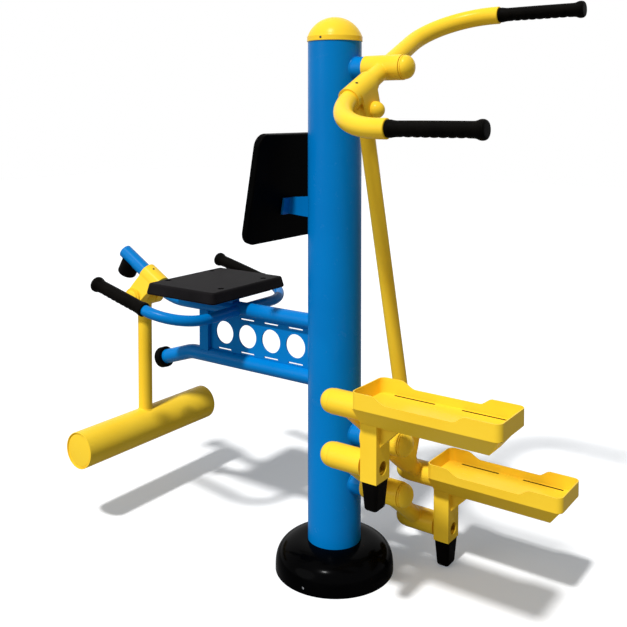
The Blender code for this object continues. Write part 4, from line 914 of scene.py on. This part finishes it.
strap = collar(STEP_TUBE, outer=0.0285, middle=0.108, eye=LOW_EYE, end_radius=0.034)
piece(soften(strap, CAST_EDGE, limit=38, segments=2), "rod_strap", YELLOW, "upper_rocker",
      "rod_clevis", at=UPPER_FRAME)
pin_heads("rod_pin", "upper_rocker", UPPER_FRAME, LOW_EYE, -PIN_LIFT)

# %% [markdown]
# ## Link rod
#
# A straight tube with round ends and a cross boss at each pivot. Its lean follows from
# the two pivots, so it is worked out from them and not typed in.

# %% Link rod
LINK_TUBE, LINK_BOSS, LINK_BOSS_HALF = 0.0189, 0.0163, 0.0227
top = HANDLE_FRAME @ Vector((LINK_X, *TOP_EYE))
low = UPPER_FRAME @ Vector((LINK_X, *LOW_EYE))
reach, end = (low - top).length, dome(0, LINK_TUBE, LINK_TUBE)
profile = [(-distance, radius) for distance, radius in end[::-1]]
profile += [(reach + distance, radius) for distance, radius in end]
link = spun(profile, top, low - top, 80)
for eye in (top, low):
    boss = rod(eye - LINK_BOSS_HALF * X_AXIS, eye + LINK_BOSS_HALF * X_AXIS, LINK_BOSS, 64)
    link = merge(link, soften(boss, TUBE_EDGE))
piece(link, "link_tube", YELLOW, "link_rod", "link_rod")
print("link rod", round(reach, 4), "m between its pivots")

# %% [markdown]
# ## Stepper rockers
#
# Two equal rockers, one above the other, make a parallelogram that keeps the pedals
# level. Each is a hub, a straight arm through it and a sleeve across each end. They are
# joined with Booleans, and a bead is laid where each half of the arm meets a hub or a
# sleeve.

# %% Stepper rockers
SLEEVE, SLEEVE_START, SLEEVE_END = 0.0301, 0.1216, 0.2093


def rocker():
    """Hub, arm and end sleeves of one rocker."""
    bm = soften(rod((HUB_START, 0, 0), (HUB_END, 0, 0), HUB_SLEEVE, 72), TUBE_EDGE)
    bm = merge(bm, rod((ARM_X, -STEP_ARM, 0), (ARM_X, STEP_ARM, 0), STEP_TUBE, 64))
    for end in (-STEP_ARM, STEP_ARM):
        sleeve = rod((SLEEVE_START, end, 0), (SLEEVE_END, end, 0), SLEEVE, 72)
        bm = merge(bm, soften(sleeve, TUBE_EDGE))
    return carve(bm, rod((HUB_START - 0.01, 0, 0), (HUB_END + 0.01, 0, 0), HUB_BORE, 72))


for name, turn in (("upper", UPPER_FRAME), ("lower", LOWER_FRAME)):
    body = name + "_rocker"
    piece(rocker(), name + "_rocker_frame", YELLOW, body, name + "_rocker", at=turn)
    for side, end in SIDES:
        weld(f"{name}_{end}_hub_weld", YELLOW, body, STEP_TUBE, HUB_SLEEVE,
             turn @ along_arm(0, side))
        weld(f"{name}_{end}_sleeve_weld", YELLOW, body, STEP_TUBE, SLEEVE,
             turn @ along_arm(side * STEP_ARM, -side))

# %% [markdown]
# ## Pedals
#
# A pedal is four parts: a box-section hanger with a folded channel, a pressed foot pan,
# a rubber foot, and two pivot pins whose domed heads close the rocker's sleeves. The
# pan starts as one flat face with round corners. Its edge is pushed up into a wall, the
# wall's top is lowered between two slopes, and a bevel makes the fold at its foot.
# Solidify then gives the sheet its thickness, and drain slots are cut through the
# floor. Their walls are marked for painted shade.

# %% Foot pan
TRAY_START, TRAY_LENGTH, TRAY_HALF, TRAY_CORNER = 0.2124, 0.3592, 0.0695, 0.017
TRAY_BOTTOM, TRAY_RIM, TRAY_DIP, TRAY_CUTS, SHEET = 0.0196, 0.0385, 0.0157, 60, 0.003
DIP_FIRST, DIP_DOWN, DIP_UP, DIP_LAST = 0.0530, 0.0915, 0.2516, 0.2814
DRAIN_FIRST, DRAIN_PITCH, DRAIN_LINE = 0.0399, 0.1730, TRAY_HALF - 0.010
DRAIN_HALF_LENGTH, DRAIN_HALF_WIDTH, DRAIN_SHADE_BAND = 0.0535, 0.0031, 0.0035


def eased(value):
    """0 to 1 with soft ends."""
    value = max(0.0, min(1.0, value))
    return value * value * (3 - 2 * value)


def rim_drop(along):
    """How far the rim is lowered at a distance along the pan."""
    if along < DIP_UP:
        return TRAY_DIP * eased((along - DIP_FIRST) / (DIP_DOWN - DIP_FIRST))
    return TRAY_DIP * (1 - eased((along - DIP_UP) / (DIP_LAST - DIP_UP)))


def in_drain(face):
    """Whether a face is a wall of a drain slot."""
    middle = face.calc_center_median()
    return (abs(abs(middle.y) - DRAIN_LINE) < DRAIN_SHADE_BAND and middle.z < TRAY_BOTTOM + SHEET
            and abs(face.normal.z) < 0.9)


def foot_pan():
    """The pan, on the upper pivot's frame."""
    bm = bmesh.new()
    outline = rounded(TRAY_LENGTH / 2, TRAY_HALF, TRAY_CORNER, 12,
                      (TRAY_START + TRAY_LENGTH / 2, 0))
    bm.faces.new([bm.verts.new((along, across, TRAY_BOTTOM)) for along, across in outline])
    for index in range(1, TRAY_CUTS):
        cut_at = TRAY_START + TRAY_LENGTH * index / TRAY_CUTS
        bmesh.ops.bisect_plane(bm, geom=bm.verts[:] + bm.edges[:] + bm.faces[:],
                               plane_co=(cut_at, 0, 0), plane_no=X_AXIS, dist=0.00001)
    fold = [e for e in bm.edges if e.is_boundary]
    push(bm, fold, (0, 0, TRAY_RIM))
    for vert in bm.verts:
        if vert.co.z > TRAY_BOTTOM + TRAY_RIM / 2:
            vert.co.z -= rim_drop(vert.co.x - TRAY_START)
    soften(bm, 0.0030, segments=4, edges=fold)
    bmesh.ops.recalc_face_normals(bm, faces=bm.faces)
    bottom = min(bm.faces, key=lambda face: face.calc_center_median().z)
    if bottom.normal.z > 0:
        bmesh.ops.reverse_faces(bm, faces=bm.faces)
    bmesh.ops.solidify(bm, geom=bm.faces[:], thickness=SHEET)
    bmesh.ops.recalc_face_normals(bm, faces=bm.faces)
    for side in (-1, 1):
        for index in range(2):
            middle = TRAY_START + DRAIN_FIRST + index * DRAIN_PITCH + DRAIN_HALF_LENGTH
            outline = rounded(DRAIN_HALF_LENGTH, DRAIN_HALF_WIDTH, DRAIN_HALF_WIDTH - 0.00005, 5,
                              (middle, side * DRAIN_LINE))
            bm = carve(bm, prism(outline, TRAY_BOTTOM - 0.01, TRAY_BOTTOM + 0.012))
    # The walls of the drain slots are marked for painted shade.
    return mark_painted_shade(soften(bm, 0.0004, limit=50, segments=1), in_drain)


# %% [markdown]
# The hanger is cut and welded from plain shapes. Its round window shows the end of the
# lower pivot pin. The channel under the pan narrows downwards and is raked at its end,
# so it is a cube whose points are moved in. The bevel runs over every edge, as folded
# and ground sheet has no sharp corner.

# %% Hanger
DROP = UPPER_HUB - LOWER_HUB
HANGER_START, HANGER_END, HANGER_HALF, HANGER_FOOT = 0.2142, 0.2576, 0.0295, 0.0308
HANGER_WALL, WINDOW, BOSS = 0.0045, 0.0161, 0.019
CHANNEL_LOW, CHANNEL_NARROW, CHANNEL_INSET, CHANNEL_RAKE = -0.0252, 0.0301, 0.0032, 0.034
GUSSET, GUSSET_HALF = 0.052, 0.014


def channel(inset, top):
    """The tapered channel, or with an inset its hollow."""
    low, deep = CHANNEL_LOW + inset, TRAY_BOTTOM - GAP - CHANNEL_LOW
    flare = (TRAY_HALF - CHANNEL_INSET - CHANNEL_NARROW) / deep
    rake = CHANNEL_RAKE / deep
    start = TRAY_START + CHANNEL_INSET + inset
    last = TRAY_START + TRAY_LENGTH - 0.007
    bm = bmesh.new()
    bmesh.ops.create_cube(bm, size=2)
    for vert in bm.verts:
        level = low if vert.co.z < 0 else top
        half = CHANNEL_NARROW + flare * (level - CHANNEL_LOW) - inset * sqrt(1 + flare ** 2)
        end = last - CHANNEL_RAKE + rake * (level - CHANNEL_LOW) - inset * sqrt(1 + rake ** 2)
        vert.co = (start if vert.co.x < 0 else end, half if vert.co.y > 0 else -half, level)
    return bm


def hanger():
    """Box section, gusset and channel, with their hollows and the window."""
    top, foot = TRAY_BOTTOM - GAP, -DROP - HANGER_FOOT
    shell = carve(channel(0, top), channel(SHEET, top + 0.01))
    seam, tip, root = CHANNEL_LOW + SHEET / 2, HANGER_END + GUSSET, HANGER_END - 0.001
    outline = [(root, CHANNEL_LOW - GUSSET), (HANGER_END, CHANNEL_LOW - GUSSET),
               (tip, CHANNEL_LOW), (tip, seam), (root, seam)]
    bm = merge(shell, block((HANGER_START, -HANGER_HALF, foot), (HANGER_END, HANGER_HALF, top)),
               prism(outline, -GUSSET_HALF, GUSSET_HALF, "Y"))
    window = rod((HANGER_END - 0.0060, 0, -DROP), (HANGER_END + 0.01, 0, -DROP), WINDOW, 64)
    inside, socket = [block((HANGER_START + HANGER_WALL, HANGER_WALL - HANGER_HALF, low),
                            (HANGER_END - HANGER_WALL, HANGER_HALF - HANGER_WALL, high))
                      for low, high in ((foot + 0.0195, CHANNEL_LOW - 0.004),
                                        (foot - 0.01, foot + 0.015))]
    return soften(carve(bm, inside, window, socket), 0.0009, limit=24)


# %% [markdown]
# The rubber foot is lofted down from the hanger's section in a few steps, each a little
# smaller, so it tapers and ends in a rounded sole. The pin's head is a dome as wide as
# the sleeve that it closes.

# %% Rubber foot and pins
FOOT_CORNER, FOOT_DEPTH, FOOT_TAPER, SOLE_DEPTH, SOLE_TAPER = 0.0098, 0.0603, 0.20, 0.0080, 0.24
PIN, PIN_HEAD, PIN_BAND, PIN_TIP = 0.0125, 0.0290, 0.0040, 0.0280


def rubber_foot():
    """A tapered foot, from (depth, share) levels of the hanger's outline."""
    top, middle = -DROP - HANGER_FOOT - GAP, (HANGER_START + HANGER_END) / 2
    half_length, half_width = (HANGER_END - HANGER_START) / 2 - 0.0002, HANGER_HALF - 0.0002
    outline = rounded(half_length, half_width, FOOT_CORNER, 8)
    levels = [(0, 1.0), (0.0008, 1.0)]
    levels += [(FOOT_DEPTH * index / 10, 1 - FOOT_TAPER * index / 10) for index in range(1, 11)]
    for angle in [pi / 2 * index / 8 for index in range(1, 9)]:
        levels.append((FOOT_DEPTH + SOLE_DEPTH * sin(angle),
                       1 - FOOT_TAPER - SOLE_TAPER * (1 - cos(angle))))
    return lofted([[(middle + along * share, across * share, top - depth)
                    for along, across in outline] for depth, share in levels])


def boss(height):
    """The short round spacer between a sleeve and the hanger."""
    return soften(rod((SLEEVE_END + 0.0006, 0, height), (HANGER_START + 0.001, 0, height),
                      BOSS, 64), 0.0004)


def pivot_pin(height, end):
    """A pin with the domed head that closes the sleeve's inner end."""
    seat = SLEEVE_START - 0.0006
    head = [(-distance, radius)
            for distance, radius in dome(PIN_BAND - seat, PIN_HEAD, PIN_TIP, 28)]
    profile = head[::-1] + [(seat - 0.0005, PIN_HEAD), (seat, PIN_HEAD - 0.0005), (seat, PIN),
                            (end, PIN), (end, 0)]
    return spun(profile, (0, 0, height), X_AXIS)


# %% Both pedals
for side, name in SIDES:
    body = name + "_pedal"
    place = Matrix.Translation((0, side * STEP_ARM * cos(STEP_TILT),
                                UPPER_HUB - side * STEP_ARM * sin(STEP_TILT)))
    piece(foot_pan(), name + "_foot_pan", YELLOW, body, name + "_pedal_tray", at=place)
    piece(hanger(), name + "_hanger", YELLOW, body, name + "_pedal_bracket", at=place)
    piece(rubber_foot(), name + "_rubber_foot", RUBBER, body, name + "_pedal_bumper", at=place)
    for level, height, end in (("upper", 0, HANGER_END - 0.0063),
                               ("lower", -DROP, HANGER_START + 0.012)):
        piece(boss(height), f"{name}_{level}_boss", YELLOW, body, at=place)
        piece(pivot_pin(height, end), f"{name}_{level}_pivot", YELLOW, body,
              f"{name}_{level}_pin", at=place)

# %% [markdown]
# ## Seat beam
#
# Two tubes run out from the post with a pierced plate between them. The upper one
# rises into a boom for the leg lever, the lower one dips to carry a stop. Both are
# bent like the handle arms. The plate's four round holes and eight slots save weight.

# %% Beam tubes
TUBE, UPPER_TUBE, LOWER_TUBE, BEAM_START = 0.0212, 0.6440, 0.4935, -0.0640
BOOM_RISE, TAIL_FALL = radians(30.46), radians(18)
BOOM_LENGTH, TAIL_LENGTH = 0.2393, 0.1119
BOOM = Vector((-cos(BOOM_RISE), 0, sin(BOOM_RISE)))
BOOM_DOWN = Vector((-sin(BOOM_RISE), 0, -cos(BOOM_RISE)))
BEAM_TURN = Vector((-0.5943, 0, UPPER_TUBE))
TAIL = Vector((-cos(TAIL_FALL), 0, -sin(TAIL_FALL)))
TAIL_TURN = Vector((-0.5124, 0, LOWER_TUBE))

for name, height, turn, end, bend, edge in (
        ("upper", UPPER_TUBE, BEAM_TURN, BEAM_TURN + BOOM_LENGTH * BOOM, 0.200, 0.0010),
        ("lower", LOWER_TUBE, TAIL_TURN, TAIL_TURN + TAIL_LENGTH * TAIL, 0.100, TUBE_EDGE)):
    piece(soften(pipe([(BEAM_START, 0, height), turn, end], bend, TUBE), edge),
          name + "_beam_pipe", BLUE, "root", f"beam_{name}_tube")
for name, height in (("upper", UPPER_TUBE), ("lower", LOWER_TUBE)):
    weld(name + "_beam_weld", BLUE, "root", TUBE, POST,
         Matrix.Translation((0, 0, height)) @ Matrix.Rotation(-pi / 2, 4, "Y"))

# %% Pierced web
END_BAR, WEB_START, WEB_HALF = -0.4351, -0.0703, 0.0025
HOLE, HOLE_FIRST, HOLE_PITCH = 0.0328, -0.1270, 0.0850
SLOT_LENGTH, SLOT_WIDTH, SLOT_EDGE = 0.0252, 0.0022, 0.0058
low, high = LOWER_TUBE + TUBE + GAP, UPPER_TUBE - TUBE - GAP
web = block((END_BAR + GAP, -WEB_HALF, low), (WEB_START, WEB_HALF, high))
for index in range(4):
    middle = HOLE_FIRST - index * HOLE_PITCH
    web = carve(web, rod((middle, -0.01, (low + high) / 2), (middle, 0.01, (low + high) / 2),
                         HOLE, 80))
    for height in (low + SLOT_EDGE, high - SLOT_EDGE):
        outline = rounded(SLOT_LENGTH, SLOT_WIDTH, SLOT_WIDTH - 0.00002, 6, (middle, height))
        web = carve(web, prism(outline, -0.01, 0.01, "Y"))
piece(soften(web, 0.0005, limit=40, segments=2), "pierced_web", BLUE, "root", "beam_web")

# %% [markdown]
# ## Seat and backrest
#
# Both are moulded boards with rounded corners and soft edges, not cushions: the
# photograph shows flat faces with an even edge, and bolts through the seat. The outline
# is lofted in thin steps whose inset follows a quarter circle, which gives a clean
# rounded edge. The seat also narrows slightly towards its top.

# %% Boards
def board(half_length, half_width, corner, levels, middle=(0, 0)):
    """A board from (height, inset) levels of one rounded outline."""
    return lofted([[(along, across, height) for along, across in
                    rounded(half_length - inset, half_width - inset, corner - inset, 12, middle)]
                   for height, inset in levels])


def round_edge(start, direction, radius, inset=0.0):
    """(height, inset) levels round an edge: out of a lower face, or into an upper one."""
    angles = [pi / 2 * index / 6 for index in range(7)]
    if direction > 0:
        return [(start - radius + radius * sin(angle), inset + radius * (1 - cos(angle)))
                for angle in angles]
    return [(start + radius * (1 - cos(angle)), inset + radius * (1 - sin(angle)))
            for angle in angles]


# %% Seat
SEAT_LOW, SEAT_HIGH, SEAT_BOTTOM, SEAT_TOP = -0.5450, -0.2821, 0.6873, 0.7192
SEAT_HALF, SEAT_CORNER, SEAT_NARROWS = 0.1600, 0.017, 0.0055
SEAT_BOLTS = [(along, across) for along in (-0.3150, -0.5180) for across in (-0.0924, 0.0924)]
BOLT_HOLE = [(SEAT_TOP - 0.0055, 0), (SEAT_TOP - 0.0055, 0.0072), (SEAT_TOP - 0.0018, 0.0076),
             (SEAT_TOP + 0.0010, 0.0106), (SEAT_TOP + 0.0010, 0)]


def in_bolt_hole(face):
    """Whether a face lies in a recess of the seat's bolts."""
    middle = face.calc_center_median()
    apart = min(hypot(middle.x - along, middle.y - across) for along, across in SEAT_BOLTS)
    return apart < 0.0112 and SEAT_BOTTOM + 0.010 < middle.z < SEAT_TOP - 0.0002


levels = (round_edge(SEAT_BOTTOM, -1, radius=0.0055)
          + round_edge(SEAT_TOP, 1, radius=0.0075, inset=SEAT_NARROWS))
seat = board((SEAT_HIGH - SEAT_LOW) / 2, SEAT_HALF, SEAT_CORNER, levels,
             ((SEAT_LOW + SEAT_HIGH) / 2, 0))
for along, across in SEAT_BOLTS:
    seat = carve(seat, spun(BOLT_HOLE, (along, across, 0), steps=48))
# The faces of the bolt recesses are marked for painted shade.
piece(mark_painted_shade(seat, in_bolt_hole), "seat_board", SEAT, "root", "seat")
for number, (along, across) in enumerate(SEAT_BOLTS, 1):
    piece(socket_screw(radius=0.0062, height=0.0030), f"seat_bolt_{number}", RUBBER, "root",
          at=Matrix.Translation((along, across, SEAT_TOP - 0.0054)))

# %% Backrest
PAD_HALF, PAD_CORNER, PAD_THICK, PAD_LEAN = 0.1471, 0.034, 0.0224, radians(10.1)
levels = round_edge(0.0, -1, radius=0.0045) + round_edge(PAD_THICK, 1, radius=0.0060)
back = board(PAD_HALF, SEAT_HALF, PAD_CORNER, levels)
back.transform(Matrix.Rotation(-pi / 2, 4, "Y"))
piece(back, "backrest_board", BACK, "root", "backrest",
      at=Matrix.Translation((-0.1425, 0, 1.0014)) @ Matrix.Rotation(PAD_LEAN, 4, "Y"))

# %% Seat handles
HANDLE_RISE, HANDLE_X, HANDLE_Y, HANDLE_Z = radians(14.19), -0.3228, 0.2558, 0.6429
ahead = Vector((-cos(HANDLE_RISE), 0, sin(HANDLE_RISE)))
for side, name in SIDES:
    corner = Vector((HANDLE_X, side * HANDLE_Y, HANDLE_Z))
    handle = pipe([(HANDLE_X, side * 0.0120, HANDLE_Z), corner, corner + 0.3227 * ahead], 0.119,
                  GRIP_TUBE)
    piece(handle, name + "_seat_tube", BLUE, "root", name + "_seat_handle")
    rubber = grip(length=0.2035, start=corner + 0.1235 * ahead, direction=ahead)
    piece(rubber, name + "_seat_rubber", GRIP, "root", name + "_seat_grip")

# %% [markdown]
# ## Leg lever
#
# A collar on the boom carries a fork, and the lever hangs in the fork on an axle with a
# domed head at each side. The roller at its foot is a wide tube closed by discs. A
# shallow ring round each disc is the line that the photograph shows at its edge.

# %% Boom collar and fork
BOOM_FRAME = (Matrix.Translation(BEAM_TURN)
              @ Matrix((BOOM, Y_AXIS, BOOM_DOWN)).transposed().to_4x4())
PIVOT_REACH, PIVOT_BELOW = 0.0988, 0.0680
FORK, FORK_HUB, SLOT_HALF, SLOT_TOP = 0.0532, 0.0301, 0.0226, 0.0345
COLLAR_FIRST, COLLAR_LAST, COLLAR_RADIUS = 0.056, 0.126, 0.0310
COLLAR_MIDDLE = (COLLAR_FIRST + COLLAR_LAST) / 2
# the neck's (level, place, half length, half width), from the collar to the pivot
NECK = ((-0.002, COLLAR_MIDDLE, 0.0347, 0.0305),
        (SLOT_TOP, (COLLAR_MIDDLE + PIVOT_REACH) / 2, 0.0316, 0.0440),
        (PIVOT_BELOW, PIVOT_REACH, FORK_HUB - 0.0002, FORK - 0.0006))

neck = lofted([[(place - half, -wide, level), (place + half, -wide, level),
                (place + half, wide, level), (place - half, wide, level)]
               for level, place, half, wide in NECK])
fork = rod((COLLAR_FIRST, 0, 0), (COLLAR_LAST, 0, 0), COLLAR_RADIUS, 80)
fork = merge(fork, soften(neck, 0.004, limit=30, segments=4),
             rod((PIVOT_REACH, -FORK, PIVOT_BELOW), (PIVOT_REACH, FORK, PIVOT_BELOW), FORK_HUB, 80))
slot = block((-0.06, -SLOT_HALF, SLOT_TOP), (0.21, SLOT_HALF, 0.14))
bore = rod((COLLAR_FIRST - 0.01, 0, 0), (COLLAR_LAST + 0.01, 0, 0), TUBE + GAP, 80)
out = Vector((0, -0.1562, -0.9877)).normalized()
screw_at = Vector((0.1040, 0, 0)) + COLLAR_RADIUS * out
fork = carve(fork, slot, bore, screw_recess(screw_at, out, depth=0.0018, radius=0.0036))
piece(soften(fork, CAST_EDGE, limit=40, segments=2), "boom_fork", YELLOW, "root", "lever_bracket",
      at=BOOM_FRAME)
piece(socket_screw(radius=0.0032, height=0.0012), "fork_screw", DARK_STEEL, "root",
      at=BOOM_FRAME @ aimed(screw_at - 0.0017 * out, out))

# %% Lever axle
AXLE_SHANK, AXLE_END = 0.0098, 0.0535
LEVER_PIVOT = BOOM_FRAME @ Vector((PIVOT_REACH, 0, PIVOT_BELOW))
for (side, name), node in zip(SIDES, ("lever_axle", "lever_axle_cap")):
    head = domed_head(radius=0.0235, band=0.0016, rise=0.0059)
    piece(head, name + "_axle_head", YELLOW, "root", node,
          at=aimed(LEVER_PIVOT + side * AXLE_END * Y_AXIS, side * Y_AXIS))
piece(rod(LEVER_PIVOT - AXLE_END * Y_AXIS, LEVER_PIVOT + AXLE_END * Y_AXIS, AXLE_SHANK, 40),
      "axle_shank", STEEL, "root")

# %% Lever and roller
ROLLER_DROP, ROLLER, ROLLER_HALF, ROLLER_WALL = 0.4071, 0.0529, 0.2610, 0.003
DISC, DISC_INSET, LEVER_BORE = ROLLER - 0.0033, 0.0072, 0.0106
hang = Matrix.Translation(LEVER_PIVOT)
lever = soften(rod((0, -0.0217, 0), (0, 0.0217, 0), FORK_HUB, 72), 0.0010)
lever = merge(lever, rod((0, 0, -0.010), (0, 0, ROLLER - ROLLER_DROP - 0.004), TUBE, 72))
lever = carve(lever, rod((0, -0.03, 0), (0, 0.03, 0), LEVER_BORE, 40))
piece(lever, "lever_tube", YELLOW, "leg_lever", "leg_lever_arm", at=hang)
across = Matrix.Rotation(pi / 2, 4, "Z")
weld("lever_hub_weld", YELLOW, "leg_lever", TUBE, FORK_HUB,
     hang @ across @ Matrix.Rotation(pi, 4, "X"))
weld("lever_roller_weld", YELLOW, "leg_lever", TUBE, ROLLER,
     hang @ Matrix.Translation((0, 0, -ROLLER_DROP)) @ across)

shell = hollow(0, 2 * ROLLER_HALF, ROLLER - ROLLER_WALL, ROLLER,
               start=(0, -ROLLER_HALF, -ROLLER_DROP), direction=Y_AXIS, steps=128)
piece(soften(shell, CAST_EDGE), "roller_shell", YELLOW, "leg_lever", "roller_tube", at=hang)
profile = [(0, 0), (0, DISC), (0.0044, DISC), (0.0052, DISC - 0.0008), (0.0052, DISC - 0.0016),
           (0.0042, DISC - 0.0022), (0.0042, DISC - 0.0030), (0.0054, DISC - 0.0040), (0.0060, 0)]
for side, name in SIDES:
    disc = spun(profile, (0, side * (ROLLER_HALF - DISC_INSET), -ROLLER_DROP), side * Y_AXIS, 128)
    piece(disc, f"roller_{name}_disc", YELLOW, "leg_lever", f"roller_{name}_end", at=hang)

# %% Rubber stops
def buffer(thickness, radius):
    """A rubber buffer with a rounded outer edge, along Z."""
    edge = 0.0055
    soft = [(thickness - edge + along, radius - edge + across)
            for across, along in arc((0, 0), edge, 0, pi / 2, 8)]
    return spun([(0, 0), (0, radius - 0.0008), (0.0008, radius), *soft, (thickness + 0.0001, 0)],
                steps=72)


piece(buffer(thickness=0.0464, radius=0.0294), "boom_stop", RUBBER, "root", "front_stop",
      at=aimed(BEAM_TURN + 0.2000 * BOOM + 0.0106 * BOOM_DOWN, BOOM_DOWN))
piece(buffer(thickness=0.0250, radius=0.0308), "tail_stop", RUBBER, "root", "back_stop",
      at=aimed(TAIL_TURN + 0.1122 * TAIL, TAIL))

# %% [markdown]
# ## Plates, bars and inner parts
#
# The plates, the end bar, the flange and the parts inside the hubs keep their CAD
# shape, because flat faces are already exact there. They only need a finish, and the
# plates and the bar lightly rounded edges, which Weld and Bevel modifiers add.

# %% Dress the CAD nodes that stay
BY_SLOT = {"yellow_paint": YELLOW, "blue_paint": BLUE, "base_gloss": COVER, "pad_vinyl": BACK,
           "seat_board": SEAT, "black_rubber": RUBBER, "bright_steel": STEEL}
PLATES, PLATE_EDGE = ("beam_end_bar", "seat_mount_plate", "back_bracket", "base_flange"), 0.0012
kept = [part for part in frame["record"]["subparts"]
        if not frame["nodes"][part["node"]].hide_render]
for part in kept:
    node = frame["nodes"][part["node"]]
    node.data.materials.clear()
    node.data.materials.append(BY_SLOT[part["material_slot"]].material)
    if part["node"] in PLATES:
        node.modifiers.new("weld", "WELD").merge_threshold = SAME_POINT
        bevel = node.modifiers.new("edge", "BEVEL")
        bevel.width, bevel.segments, bevel.limit_method = PLATE_EDGE, 3, "ANGLE"
        bevel.angle_limit = radians(40)
        node.modifiers.new("even shading", "WEIGHTED_NORMAL").keep_sharp = True
print("CAD nodes that stay:", ", ".join(part["node"] for part in kept))
